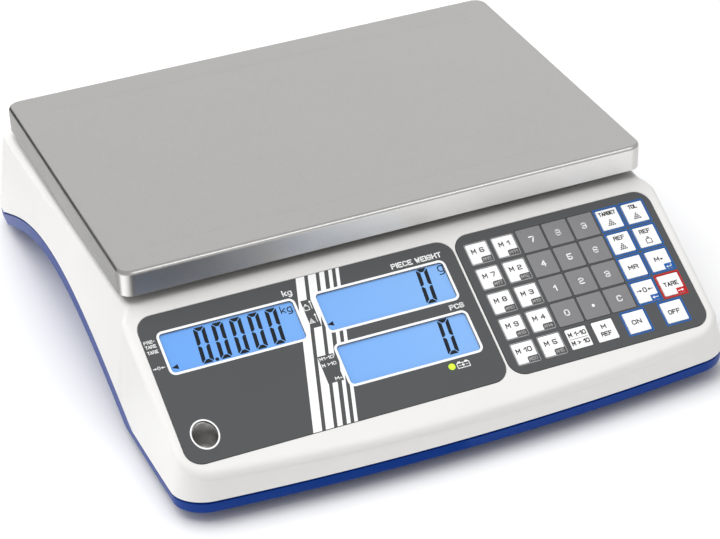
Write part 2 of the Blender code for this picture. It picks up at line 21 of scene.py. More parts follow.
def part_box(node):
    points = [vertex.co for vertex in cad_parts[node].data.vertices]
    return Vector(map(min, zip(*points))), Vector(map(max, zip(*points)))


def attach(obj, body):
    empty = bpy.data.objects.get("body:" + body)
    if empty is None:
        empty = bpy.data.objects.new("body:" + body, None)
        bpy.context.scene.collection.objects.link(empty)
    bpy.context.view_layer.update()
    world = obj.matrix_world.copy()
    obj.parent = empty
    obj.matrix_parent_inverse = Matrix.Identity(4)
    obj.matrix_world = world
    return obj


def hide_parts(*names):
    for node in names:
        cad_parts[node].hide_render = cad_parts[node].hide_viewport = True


bl_info = {
    "name": "Counting Scale",
    "version": (1, 0, 0),
    "blender": (4, 5, 0),
    "location": "View3D > Sidebar > Counting Scale",
    "description": "Builds a bench counting scale with its print, materials and studio",
    "category": "Add Mesh",
}

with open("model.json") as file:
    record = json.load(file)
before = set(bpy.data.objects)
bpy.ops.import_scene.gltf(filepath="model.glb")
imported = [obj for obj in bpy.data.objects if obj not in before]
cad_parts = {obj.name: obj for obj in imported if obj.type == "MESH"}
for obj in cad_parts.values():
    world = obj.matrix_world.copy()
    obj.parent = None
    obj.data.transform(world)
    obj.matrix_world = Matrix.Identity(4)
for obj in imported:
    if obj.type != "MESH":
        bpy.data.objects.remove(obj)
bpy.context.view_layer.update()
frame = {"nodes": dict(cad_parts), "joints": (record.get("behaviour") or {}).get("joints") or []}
NODES = frame["nodes"]
MM = 0.001


def box_mm(node):
    """Lowest and highest corner of a CAD node, in millimetres."""
    low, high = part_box(node)
    return low / MM, high / MM


def linear(hex_colour):
    """sRGB hex to the linear colour that a shader takes."""
    channels = [int(hex_colour[i : i + 2], 16) / 255 for i in (0, 2, 4)]
    rgb = [c / 12.92 if c <= 0.04045 else ((c + 0.055) / 1.055) ** 2.4 for c in channels]
    return (*rgb, 1.0)


# ---------------------------------------------------------------- the panel's plane

PRESS_AXIS = next(j for j in frame["joints"] if j["name"] == "key_0_press")["axis"]
PANEL_ANGLE = math.atan2(-PRESS_AXIS[1], PRESS_AXIS[2])
FILM_TOP_N = 0.1
FILM_THICKNESS = 0.8
FILM_LOW, FILM_HIGH = box_mm("display_overlay")
KEYPAD_LOW, KEYPAD_HIGH = box_mm("keypad_overlay")
PANEL_Y = FILM_LOW.y + FILM_TOP_N * math.sin(PANEL_ANGLE)
PANEL_Z = FILM_LOW.z + (FILM_THICKNESS - FILM_TOP_N) * math.cos(PANEL_ANGLE)
PANEL = Matrix.Translation((0, PANEL_Y, PANEL_Z)) @ Matrix.Rotation(PANEL_ANGLE, 4, "X")
OVERLAY_V = (0.0, 98.1)
INK = 0.05
PRINT_ROOT = 0.03
LENS_TOP_N = -0.9
PANEL_HOLE_N = (-20, -0.5)
OVERLAY_CORNER = 10
FIT_GAP = 0.3
LAMP_UV, LAMP_HOLE_RADIUS = (1.4, 17.0), 2.6
LEVEL_UV = (-151.6, 17.2)
LEVEL_BORE, LEVEL_WALL, LEVEL_MOUTH_N = 7.3, 0.8, -1.1
LEVEL_BOTTOM_Z, LEVEL_BOWL_Z, LEVEL_BOWL_DEPTH = 19.0, 34.0, 6.5
WINDOWS = {
    "lcd_weight": ((-156.2, -73.5), (58.8, 85.0)),
    "lcd_piece_weight": ((-59.2, 22.9), (59.2, 84.6)),
    "lcd_pieces": ((-59.7, 22.9), (22.7, 49.0)),
}

# ---------------------------------------------------------------- the housing's outline

HALF_WIDTH, HALF_DEPTH = 178.0, 195.0
CORNER_RADIUS, REAR_CORNER_RADIUS, DECK_CORNER_RADIUS = 20.0, 17.0, 9.0
DECK_REAR_Y = 158.0
FRONT_BOW, SIDE_BOW, WIDEST_Y = 10.0, 2.7, -42.0
CORNER_STEPS = 12
WALL = 2.6
DECK_Z, DECK_THICKNESS, SHOULDER = 86.0, 4.0, 4.0
DECK_OPENING = (52.0, 49.0)
EDGE_RADIUS, EDGE_STEPS = 4.0, 8
PANEL_EDGE_INSET, DECK_EDGE_INSETS = 4.0, (9.4, 1.1)
WING_START_Y, WING_END_Y = -90.0, -79.0
PARTING_Z, PARTING_GAP, PARTING_RISE, PARTING_ARCH = 15.5, 0.6, 42.0, (-104.0, 170.0)
BASE_BOTTOM_Z, BASE_FLOOR_Z = 7.0, 9.5
GRIP_RISE, GRIP_ARCH = 42.0, (-92.5, 168.0)
GRIP_INNER_X, GRIP_DRAFT, GRIP_WALL = 148.0, 0.78, 2.4
BOSS_RADIUS, BOSS_BORE, BOSS_TOP_Z = 8.0, 4.5, 20.0
COVER_OPENING_MARGIN = 0.3
REAR_STATIONS = range(176, 0, -8)
FRONT_STATIONS = [*range(0, -62, -8), *range(-64, -102, -1), *range(-106, -172, -8)]


def smoothstep(value, start, end):
    t = min(max((value - start) / (end - start), 0), 1)
    return t * t * (3 - 2 * t)


def side_width(y):
    return HALF_WIDTH - SIDE_BOW * ((y - WIDEST_Y) / 200) ** 2


def bowed(x, y):
    towards_front = max(-y / HALF_DEPTH, 0) ** 4
    bow = FRONT_BOW * (x / HALF_WIDTH) ** 2 * towards_front
    return Vector((x * side_width(y) / HALF_WIDTH, y + bow))


def half_outline(rear_y, rear_radius):
    """Right half of a plan outline, from the rear corner to the middle of the front, with
    the outward direction at each point."""
    arc = [math.pi / 2 * i / CORNER_STEPS for i in range(CORNER_STEPS + 1)]
    corners = []
    for radius, end_y, to_end in ((rear_radius, rear_y, 1), (CORNER_RADIUS, -HALF_DEPTH, -1)):
        centre = (HALF_WIDTH - radius, end_y - to_end * radius)
        offsets = [(radius * math.sin(a), to_end * radius * math.cos(a)) for a in arc]
        corners.append([(centre[0] + x, centre[1] + y) for x, y in offsets])
    stretch = (rear_y - rear_radius) / REAR_STATIONS.start
    sides = [y * stretch for y in REAR_STATIONS[1:]] + FRONT_STATIONS
    front = [((HALF_WIDTH - CORNER_RADIUS) * i / 8, -HALF_DEPTH) for i in range(7, -1, -1)]
    square = corners[0] + [(HALF_WIDTH, y) for y in sides] + corners[1][::-1] + front
    points = [bowed(*point) for point in square]
    outward = [Vector((0, 1))]
    for before, after in zip(points, points[2:]):
        along = (after - before).normalized()
        outward.append(Vector((-along.y, along.x)))
    outward.append(Vector((0, -1)))
    return list(zip(points, outward))


BASE_OUTLINE = half_outline(HALF_DEPTH, REAR_CORNER_RADIUS)
TOP_OUTLINE = half_outline(DECK_REAR_Y, DECK_CORNER_RADIUS)


def top_z(y):
    """Height of the housing's top: the deck, rounded over into the sloped panel."""
    slope = PANEL_Z + (y - PANEL_Y) * math.tan(PANEL_ANGLE)
    past = slope - DECK_Z
    if abs(past) >= SHOULDER / 2:
        return min(slope, DECK_Z)
    return DECK_Z - (SHOULDER / 2 - past) ** 2 / (2 * SHOULDER)


def parting_z(y):
    start, end = PARTING_ARCH
    if not start < y < end:
        return PARTING_Z
    return PARTING_Z + PARTING_RISE * math.sin(math.pi * (y - start) / (end - start))


def grip_z(y):
    """Height of the lower edge of the base's side, along the hand grip's arch."""
    start, end = GRIP_ARCH
    return BASE_BOTTOM_Z + GRIP_RISE * math.sin(math.pi * (y - start) / (end - start))


def edge_inset(y):
    """How far the top edge stands in from the widest outline: most at the deck's front."""
    deck = smoothstep(y, WING_START_Y, WING_END_Y)
    along = min(max((y - WING_END_Y) / (DECK_REAR_Y - WING_END_Y), 0), 1)
    beside = DECK_EDGE_INSETS[0] + (DECK_EDGE_INSETS[1] - DECK_EDGE_INSETS[0]) * along
    return PANEL_EDGE_INSET + (beside - PANEL_EDGE_INSET) * deck


def outline_ring(outline, inset, height):
    """Loop of points round the housing. inset and height are rules of y."""
    half = []
    for point, outward in outline:
        moved = point - outward * inset(point.y)
        half.append((moved.x, moved.y, height(moved.y)))
    return half + [(-x, y, z) for x, y, z in half[-2::-1]]


# ---------------------------------------------------------------- mesh helpers


def loft(bm, rings, cap_first=True, cap_last=True, closed=False):
    """Skin rings of equal length, with one flat face over each end, or as a closed tube."""
    loops = [[bm.verts.new(point) for point in ring] for ring in rings]
    count = len(loops[0])
    pairs = list(zip(loops, loops[1:]))
    if closed:
        pairs.append((loops[-1], loops[0]))
    for lower, upper in pairs:
        for i in range(count):
            j = (i + 1) % count
            bm.faces.new((lower[i], lower[j], upper[j], upper[i]))
    if cap_first and not closed:
        bm.faces.new(loops[0][::-1])
    if cap_last and not closed:
        bm.faces.new(loops[-1])
    return loops


def strip_cap(bm, loop):
    """Close a symmetric loop with strips from its right side to its left."""
    for i in range(len(loop) // 2):
        corners = (loop[i], loop[i + 1], loop[-2 - i], loop[-1 - i])
        bm.faces.new(dict.fromkeys(corners))


def circle(x, y, z, radius, sides=48):
    turn = 2 * math.pi / sides
    return [
        (x + radius * math.cos(turn * i), y + radius * math.sin(turn * i), z)
        for i in range(sides)
    ]


def oval(x, y, height, half_x, half_y, sides=64):
    """Ellipse of points. height is a rule of y."""
    points = []
    for i in range(sides):
        angle = 2 * math.pi / sides * i
        point_y = y + half_y * math.sin(angle)
        points.append((x + half_x * math.cos(angle), point_y, height(point_y)))
    return points


def level_ring(radius, height):
    """Outline of the bubble level's upright well. height is a rule of y."""
    y = PANEL_Y + LEVEL_UV[1] * math.cos(PANEL_ANGLE)
    return oval(LEVEL_UV[0], y, height, radius, radius)


def below_panel(n):
    """Height of the panel's plane, moved by n along its normal, as a rule of y."""
    slope, shift = math.tan(PANEL_ANGLE), n / math.cos(PANEL_ANGLE)
    return lambda y: PANEL_Z + (y - PANEL_Y) * slope + shift


def rounded(x_range, y_range, z, radius, steps=8):
    """Rounded rectangle between two pairs of limits."""
    points = []
    corners = (
        (x_range[1], y_range[1], -1, -1, 0),
        (x_range[0], y_range[1], 1, -1, 90),
        (x_range[0], y_range[0], 1, 1, 180),
        (x_range[1], y_range[0], -1, 1, 270),
    )
    for x, y, to_x, to_y, start in corners:
        centre = (x + to_x * radius, y + to_y * radius)
        for i in range(steps + 1):
            angle = math.radians(start + 90 * i / steps)
            points.append(
                (centre[0] + radius * math.cos(angle), centre[1] + radius * math.sin(angle), z)
            )
    return points


def grown(limits, by):
    return limits[0] - by, limits[1] + by


def prism(bm, outline, low, high):
    """Upright solid on a flat outline of (x, y) points."""
    loft(bm, [[(p[0], p[1], z) for p in outline] for z in (low, high)])


def block(bm, x_range, y_range, z_range):
    outline = [(x_range[i], y_range[j]) for i, j in ((0, 0), (1, 0), (1, 1), (0, 1))]
    prism(bm, outline, *z_range)


def frame_band(bm, outer, inner, low, high):
    """Flat band between two outlines of equal length."""
    rings = [(outer, low), (outer, high), (inner, high), (inner, low)]
    loft(bm, [[(p[0], p[1], z) for p in outline] for outline, z in rings], closed=True)


def stroke(bm, points, width, low, high):
    """Flat line of even width through (x, y) points, one block to a stretch."""
    for start, end in zip(points, points[1:]):
        a, b = Vector(start[:2]), Vector(end[:2])
        along = (b - a).normalized() * (width / 2)
        across = Vector((-along.y, along.x))
        a, b = a - along, b + along
        prism(bm, [a + across, a - across, b - across, b + across], low, high)


# Plain squared lettering, drawn as strokes through grid points on a field 6 high: each
# pair of figures is one point, and a bar starts a new stroke.
GLYPHS = {
    "0": "10 30 41 45 36 16 05 01 10",
    "1": "04 26 20",
    "2": "05 16 36 45 44 33 13 02 00 40",
    "3": "05 16 36 45 44 33 13 | 33 42 41 30 10 01",
    "4": "30 36 02 42",
    "5": "46 06 03 33 42 41 30 10 01",
    "6": "45 36 16 05 01 10 30 41 42 33 03",
    "7": "06 46 45 20",
    "8": "13 04 05 16 36 45 44 33 13 02 01 10 30 41 42 33",
    "9": "01 10 30 41 45 36 16 05 04 13 43",
    "A": "00 26 40 | 12 32",
    "C": "45 36 16 05 01 10 30 41",
    "E": "46 06 00 40 | 03 33",
    "F": "46 06 00 | 03 33",
    "G": "45 36 16 05 01 10 30 41 43 23",
    "H": "00 06 | 40 46 | 03 43",
    "I": "00 06",
    "L": "06 00 40",
    "M": "00 06 22 46 40",
    "N": "00 06 40 46",
    "O": "10 30 41 45 36 16 05 01 10",
    "P": "00 06 36 45 44 33 03",
    "R": "00 06 36 45 44 33 03 | 33 40",
    "S": "45 36 16 05 04 13 33 42 41 30 10 01",
    "T": "06 46 | 26 20",
    "W": "06 10 24 30 46",
    "g": "36 31 20 00 | 36 16 05 03 12 32",
    "k": "00 06 | 01 34 | 12 30",
    "+": "02 22 | 11 13",
    "-": "03 23",
    ">": "05 33 01",
    " ": "",
}
DESCENT = {"g": 2}
SPACE_WIDTH, LETTER_GAP = 1.4, 1.7


def lettering(bm, text, size, x, y, low, high, width, line=0.58, align="CENTER"):
    """Flat raised letters on a baseline: capital height, place, full width and stroke width."""
    strokes, pen = [], 0
    for letter in text:
        parts = [
            [(int(pair[0]), int(pair[1]) - DESCENT.get(letter, 0)) for pair in part.split()]
            for part in GLYPHS[letter].split("|")
            if part.strip()
        ]
        strokes += [[(pen + px, py) for px, py in part] for part in parts]
        pen += max((px for part in parts for px, _ in part), default=SPACE_WIDTH) + LETTER_GAP
    across, up = (width - line) / max(pen - LETTER_GAP, 0.01), (size - line) / 6
    start = {"CENTER": x - width / 2, "RIGHT": x - width, "LEFT": x}[align] + line / 2
    for part in strokes:
        points = [(start + px * across, y + line / 2 + py * up) for px, py in part]
        stroke(bm, points, line, low, high)


def finish_mesh(bm, name, smooth_angle):
    bmesh.ops.recalc_face_normals(bm, faces=bm.faces)
    mesh = bpy.data.meshes.new(name)
    bm.to_mesh(mesh)
    bm.free()
    if smooth_angle:
        mesh.shade_smooth()
        mesh.set_sharp_from_angle(angle=math.radians(smooth_angle))
    return mesh


def piece(name, bm, material, body, replaces=(), on_panel=False, smooth_angle=35):
    """Piece of the scale from a bmesh in millimetres, riding on a CAD body."""
    if on_panel:
        bmesh.ops.transform(bm, matrix=PANEL, verts=bm.verts)
    bmesh.ops.scale(bm, verts=bm.verts, vec=(MM, MM, MM))
    obj = bpy.data.objects.new(name, finish_mesh(bm, name, smooth_angle))
    bpy.context.scene.collection.objects.link(obj)
    obj.data.materials.append(material)
    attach(obj, body)
    if replaces:
        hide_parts(*([replaces] if isinstance(replaces, str) else replaces))
    return obj


def carve(bm, cutter, operation="DIFFERENCE"):
    """The bmesh with another one cut from it or joined to it."""
    holders = []
    for label, part in (("body", bm), ("cutter", cutter)):
        holder = bpy.data.objects.new(label, finish_mesh(part, label, 0))
        bpy.context.scene.collection.objects.link(holder)
        holders.append(holder)
    body, tool = holders
    boolean = body.modifiers.new("carve", "BOOLEAN")
    boolean.operation, boolean.solver, boolean.object = operation, "EXACT", tool
    graph = bpy.context.evaluated_depsgraph_get()
    mesh = bpy.data.meshes.new_from_object(body.evaluated_get(graph))
    result = bmesh.new()
    result.from_mesh(mesh)
    for holder in holders:
        bpy.data.objects.remove(holder)
    return result


def even_flats(obj):
    """Keep broad flat faces evenly lit beside their small rounded edges."""
    weighted = obj.modifiers.new("even flats", "WEIGHTED_NORMAL")
    weighted.keep_sharp = True
    weighted.weight = 80


# ---------------------------------------------------------------- materials


def add_node(tree, kind, settings=(), links=()):
    """Add a node. settings fill its properties or sockets, and links feed its sockets."""
    node = tree.nodes.new(kind)
    for name, value in dict(settings).items():
        if isinstance(name, str) and hasattr(node, name):
            setattr(node, name, value)
        else:
            node.inputs[name].default_value = value
    for name, source in dict(links).items():
        tree.links.new(source, node.inputs[name])
    return node


def surface(
    name,
    colours,
    roughness,
    grain=0.4,
    height=0.01,
    stretch=(1, 1, 1),
    patch=40.0,
    wear=None,
    **shader,
):
    """Material of a real finish.

    colours: two hex colours that drift into each other over patches of `patch` mm.
    roughness: its least and most over the grain. grain: size in mm of one speck or line of
    the texture, and stretch: how much finer it is along x, y and z. height: depth of the
    texture in mm. wear: hex colour that shows on a few grains.
    shader: constants for the Principled shader's own sockets.
    """
    made = bpy.data.materials.new(name)
    made.use_nodes = True
    tree = made.node_tree
    principled = tree.nodes["Principled BSDF"]
    for socket, value in shader.items():
        title = socket.replace("_", " ").title().replace("Ior", "IOR")
        principled.inputs[title].default_value = value
    place = add_node(tree, "ShaderNodeTexCoord").outputs["Object"]
    stretched = add_node(
        tree, "ShaderNodeMapping", {"Scale": stretch}, {"Vector": place}
    ).outputs["Vector"]
    fine = add_node(
        tree,
        "ShaderNodeTexNoise",
        {"Scale": 1 / (grain * MM), "Detail": 2.0, "Roughness": 0.6},
        {"Vector": stretched},
    ).outputs["Fac"]
    broad = add_node(
        tree,
        "ShaderNodeTexNoise",
        {"Scale": 1 / (patch * MM), "Detail": 2.0},
        {"Vector": place},
    ).outputs["Fac"]
    colour = add_node(
        tree,
        "ShaderNodeMix",
        {"data_type": "RGBA", 6: linear(colours[0]), 7: linear(colours[1])},
        {0: broad},
    ).outputs[2]
    if wear:
        few = add_node(
            tree,
            "ShaderNodeMapRange",
            {"From Min": 0.62, "From Max": 0.72},
            {"Value": fine},
        ).outputs["Result"]
        colour = add_node(
            tree, "ShaderNodeMix", {"data_type": "RGBA", 7: linear(wear)}, {0: few, 6: colour}
        ).outputs[2]
    tree.links.new(colour, principled.inputs["Base Color"])
    rough = add_node(
        tree,
        "ShaderNodeMapRange",
        {"From Min": 0.3, "From Max": 0.7, "To Min": roughness[0], "To Max": roughness[1]},
        {"Value": fine},
    ).outputs["Result"]
    tree.links.new(rough, principled.inputs["Roughness"])
    bump = add_node(
        tree, "ShaderNodeBump", {"Strength": 1.0, "Distance": height * MM}, {"Height": fine}
    ).outputs["Normal"]
    tree.links.new(bump, principled.inputs["Normal"])
    return made


FINISHES = {}


def finish(name):
    return FINISHES[name]


def dress(node, name):
    """Give a CAD node that stays in view its real finish."""
    data = NODES[node].data
    data.materials.clear()
    data.materials.append(finish(name))


def make_finishes():
    scene = bpy.context.scene
    body, panel = scene.scale_body, scene.scale_panel
    made = {
        # ABS, injection moulded in a spark-eroded tool: a soft satin white that is never
        # quite mirror smooth, with grains of about a third of a millimetre.
        "moulded_white_abs": surface(
            "moulded_white_abs",
            (body.cover_colour, "E9E8E6"),
            (0.36, 0.46),
            grain=0.35,
            height=0.004,
            ior=1.54,
        ),
        # The same ABS coloured through in deep blue: darker, so its sheen shows more.
        "moulded_blue_abs": surface(
            "moulded_blue_abs",
            (body.base_colour, "00358A"),
            (0.30, 0.42),
            grain=0.35,
            height=0.004,
            ior=1.54,
            specular_ior_level=0.15,
        ),
        # Stainless steel 1.4301, ground with 240 grit from front to back: long hair lines
        # about 0.3 mm apart that draw reflections out across them.
        "ground_stainless_steel": surface(
            "ground_stainless_steel",
            (scene.scale_tray.steel_colour, "C5C4C2"),
            (0.27, 0.37),
            grain=0.3,
            height=0.0012,
            stretch=(1, 0.02, 1),
            patch=60.0,
            metallic=1.0,
            anisotropic=0.4,
        ),
        # Aluminium, pressure die cast and left as cast: dull grey skin with fine pores.
        "die_cast_aluminium": surface(
            "die_cast_aluminium",
            ("A6A8AA", "8F9294"),
            (0.42, 0.62),
            grain=0.7,
            height=0.03,
            patch=18.0,
            wear="C4C6C8",
            metallic=1.0,
        ),
        # Aluminium 2024, milled all over: bright with cutter lines across the beam.
        "milled_aluminium": surface(
            "milled_aluminium",
            ("C3C5C8", "B4B7BB"),
            (0.22, 0.38),
            grain=0.5,
            height=0.004,
            stretch=(1, 0.03, 0.2),
            metallic=1.0,
        ),
        # Steel, zinc plated and clear passivated: pale, faintly blue and slightly cloudy.
        "zinc_plated_steel": surface(
            "zinc_plated_steel",
            ("A9ADB1", "9AA1A8"),
            (0.28, 0.45),
            grain=0.6,
            height=0.004,
            patch=6.0,
            metallic=1.0,
        ),
        # Polycarbonate film, velvet front face and printed from behind: even dark grey,
        # with a matt texture far finer than the moulded plastic's.
        "velvet_grey_polycarbonate_film": surface(
            "velvet_grey_polycarbonate_film",
            (panel.film_colour, "46484A"),
            (0.44, 0.56),
            grain=0.2,
            height=0.002,
            patch=70.0,
            ior=1.58,
        ),
        # Screen-printed inks under the same velvet film: flat colours, no edge gloss.
        "white_screen_ink": surface(
            "white_screen_ink", ("FFFFFF", "FDFDFD"), (0.42, 0.52), grain=0.2, height=0.001
        ),
        "blue_screen_ink": surface(
            "blue_screen_ink", ("0560B2", "045AA8"), (0.42, 0.52), grain=0.2, height=0.001
        ),
        "red_screen_ink": surface(
            "red_screen_ink", ("CC000A", "C20008"), (0.42, 0.52), grain=0.2, height=0.001
        ),
        "grey_screen_ink": surface(
            "grey_screen_ink", ("121314", "18191A"), (0.42, 0.52), grain=0.2, height=0.001
        ),
        "film_screen_ink": surface(
            "film_screen_ink", ("4C4D4E", "505152"), (0.42, 0.52), grain=0.2, height=0.001
        ),
        "pale_screen_ink": surface(
            "pale_screen_ink", ("B4B4B4", "ACACAC"), (0.42, 0.52), grain=0.2, height=0.001
        ),
        # Film over each key dome, printed white or mid grey: slightly cushioned.
        "white_key_film": surface(
            "white_key_film", ("FFFFFF", "FCFCFD"), (0.40, 0.50), grain=0.2, height=0.002, ior=1.58
        ),
        "grey_key_film": surface(
            "grey_key_film", ("838284", "7E7D7F"), (0.42, 0.54), grain=0.2, height=0.002, ior=1.58
        ),
        # Black nylon socket, moulded: near black, slightly glossy on its faces.
        "moulded_black_nylon": surface(
            "moulded_black_nylon", ("1B1C1E", "232426"), (0.35, 0.5), grain=0.4, height=0.006
        ),
        # Natural rubber, compression moulded: black with a grey bloom in patches.
        "moulded_black_rubber": surface(
            "moulded_black_rubber",
            ("1A1A1B", "242425"),
            (0.7, 0.9),
            grain=0.5,
            height=0.012,
            patch=5.0,
        ),
        # ABS battery case, moulded: charcoal with a coarse leather-like tool texture.
        "moulded_charcoal_abs": surface(
            "moulded_charcoal_abs", ("2A2B2D", "303133"), (0.42, 0.58), grain=0.8, height=0.02
        ),
        # Polycarbonate cup of the bubble level, moulded smooth and metallised: a soft grey
        # mirror that blurs what it shows.
        "polished_grey_polycarbonate": surface(
            "polished_grey_polycarbonate",
            ("C2C1BF", "BCBBB9"),
            (0.36, 0.42),
            grain=0.3,
            height=0.0005,
            metallic=0.9,
        ),
        # Cartridge paper, calendered: matt white with hardly any tooth.
        "white_studio_paper": surface(
            "white_studio_paper", ("FAFAFA", "F9F9F9"), (0.8, 0.9), grain=1.0, height=0.001
        ),
        # Cotton cloth, woven: flat light grey. Only reflections show it: painted shade in the
        # steel tray.
        "grey_studio_cloth": surface(
            "grey_studio_cloth", ("B4B4B2", "AEAEAC"), (0.8, 0.9), grain=1.5, height=0.02
        ),
    }
    steel = made["ground_stainless_steel"].node_tree
    grinding = {"direction_type": "UV_MAP", "uv_map": "grinding"}
    along = add_node(steel, "ShaderNodeTangent", grinding)
    steel.links.new(along.outputs["Tangent"], steel.nodes["Principled BSDF"].inputs["Tangent"])
    made["glass_fibre_board"] = circuit_board_finish()
    made["backlit_liquid_crystal"] = liquid_crystal_finish(panel)
    made["switched_on_segment"] = surface(
        "switched_on_segment",
        ("04101A", "06141F"),
        (0.18, 0.24),
        grain=0.3,
        height=0.0005,
        ior=1.5,
    )
    made["lit_green_lens"] = lit_lens_finish(panel)
    FINISHES.update(made)


def circuit_board_finish():
    """Glass-fibre board under green solder mask, with paler copper tracks 0.5 mm wide."""
    made = surface(
        "glass_fibre_board", ("1B6A40", "175C38"), (0.28, 0.4), grain=0.5, height=0.004, ior=1.5
    )
    tree = made.node_tree
    principled = tree.nodes["Principled BSDF"]
    under = principled.inputs["Base Color"].links[0].from_socket
    place = tree.nodes["Texture Coordinate"].outputs["Object"]
    tracks = add_node(
        tree,
        "ShaderNodeTexBrick",
        {
            "Scale": 1 / (4.0 * MM),
            "Mortar Size": 0.06,
            "Color1": (0, 0, 0, 1),
            "Color2": (0, 0, 0, 1),
            "Mortar": (1, 1, 1, 1),
        },
        {"Vector": place},
    ).outputs["Fac"]
    mixed = add_node(
        tree,
        "ShaderNodeMix",
        {"data_type": "RGBA", 7: linear("3E8F5C")},
        {0: tracks, 6: under},
    ).outputs[2]
    tree.links.new(mixed, principled.inputs["Base Color"])
    return made


def liquid_crystal_finish(panel):
    """Display glass over a blue backlight: brighter towards the right, where its lamps are,
    with the polariser's smooth gloss and a 0.3 mm diffuser grain."""
    made = surface(
        "backlit_liquid_crystal",
        (panel.display_colour, panel.display_colour),
        (0.16, 0.22),
        grain=0.3,
        height=0.0003,
        ior=1.5,
    )
    tree = made.node_tree
    principled = tree.nodes["Principled BSDF"]
    place = tree.nodes["Texture Coordinate"].outputs["Object"]
    across = add_node(tree, "ShaderNodeSeparateXYZ", {}, {"Vector": place}).outputs["X"]
    share = add_node(
        tree, "ShaderNodeMapRange", {"From Min": -0.15, "From Max": 0.02}, {"Value": across}
    ).outputs["Result"]
    blue = add_node(
        tree,
        "ShaderNodeMix",
        {"data_type": "RGBA", 6: linear(panel.display_colour), 7: linear("80AFE9")},
        {0: share},
    ).outputs[2]
    tree.links.new(blue, principled.inputs["Base Color"])
    tree.links.new(blue, principled.inputs["Emission Color"])
    principled.inputs["Emission Strength"].default_value = panel.display_glow
    return made


def lit_lens_finish(panel):
    """Clear acrylic light pipe with its green lamp on: an even green glow."""
    made = surface(
        "lit_green_lens",
        (panel.lamp_colour, "B9F02E"),
        (0.2, 0.3),
        grain=0.4,
        height=0.001,
        ior=1.49,
    )
    principled = made.node_tree.nodes["Principled BSDF"]
    principled.inputs["Emission Color"].default_value = linear(panel.lamp_colour)
    principled.inputs["Emission Strength"].default_value = 0.55
    return made


# ---------------------------------------------------------------- settings


class ScaleBodySettings(bpy.types.PropertyGroup):
    cover_colour: StringProperty(
        name="Cover colour", description="sRGB hex of the white upper housing", default="EFEEEC"
    )
    base_colour: StringProperty(
        name="Base colour", description="sRGB hex of the blue base", default="003B91"
    )


class ScaleTraySettings(bpy.types.PropertyGroup):
    steel_colour: StringProperty(
        name="Steel colour", description="sRGB hex of the weighing tray", default="C8C7C5"
    )
    bend_radius: FloatProperty(
        name="Bend radius", description="Outer radius of the tray's edge", default=2.5, unit="NONE"
    )


class ScalePanelSettings(bpy.types.PropertyGroup):
    film_colour: StringProperty(
        name="Film colour", description="sRGB hex of both panel films", default="494B4D"
    )
    display_colour: StringProperty(
        name="Display colour", description="sRGB hex of the lit displays", default="669FE6"
    )
    display_glow: FloatProperty(
        name="Display glow", description="Strength of the displays' backlight", default=0.15
    )
    lamp_colour: StringProperty(
        name="Lamp colour", description="sRGB hex of the charge lamp", default="C8FF3C"
    )
    weight_shown: StringProperty(
        name="Weight", description="Digits in the weight display", default="0.0000"
    )


class ScaleStageSettings(bpy.types.PropertyGroup):
    camera_place: FloatVectorProperty(
        name="Camera place",
        description="Where the camera stands",
        default=(-0.48572, -1.21282, 0.84783),
        subtype="TRANSLATION",
        unit="LENGTH",
    )
    azimuth: FloatProperty(
        name="Azimuth",
        description="Camera direction, to the right of straight ahead",
        default=math.radians(22.307),
        subtype="ANGLE",
    )
    elevation: FloatProperty(
        name="Elevation",
        description="How far the camera looks down",
        default=math.radians(32.438),
        subtype="ANGLE",
    )
    roll: FloatProperty(
        name="Roll",
        description="Turn of the camera about its own axis",
        default=math.radians(-2.0395),
        subtype="ANGLE",
    )
    lens: FloatProperty(
        name="Lens", description="Focal length on a 36 mm sensor", default=121.24, min=10
    )
    fill: FloatProperty(
        name="Fill", description="Strength of the white studio's own light", default=0.56
    )


SETTINGS = {
    "scale_body": ScaleBodySettings,
    "scale_tray": ScaleTraySettings,
    "scale_panel": ScalePanelSettings,
    "scale_stage": ScaleStageSettings,
}


# ---------------------------------------------------------------- operators


class SCALE_OT_finishes(bpy.types.Operator):
    """Make the materials that every piece takes"""

    bl_idname = "scale.finishes"
    bl_label = "Materials"

    def execute(self, context):
        make_finishes()
        return {"FINISHED"}


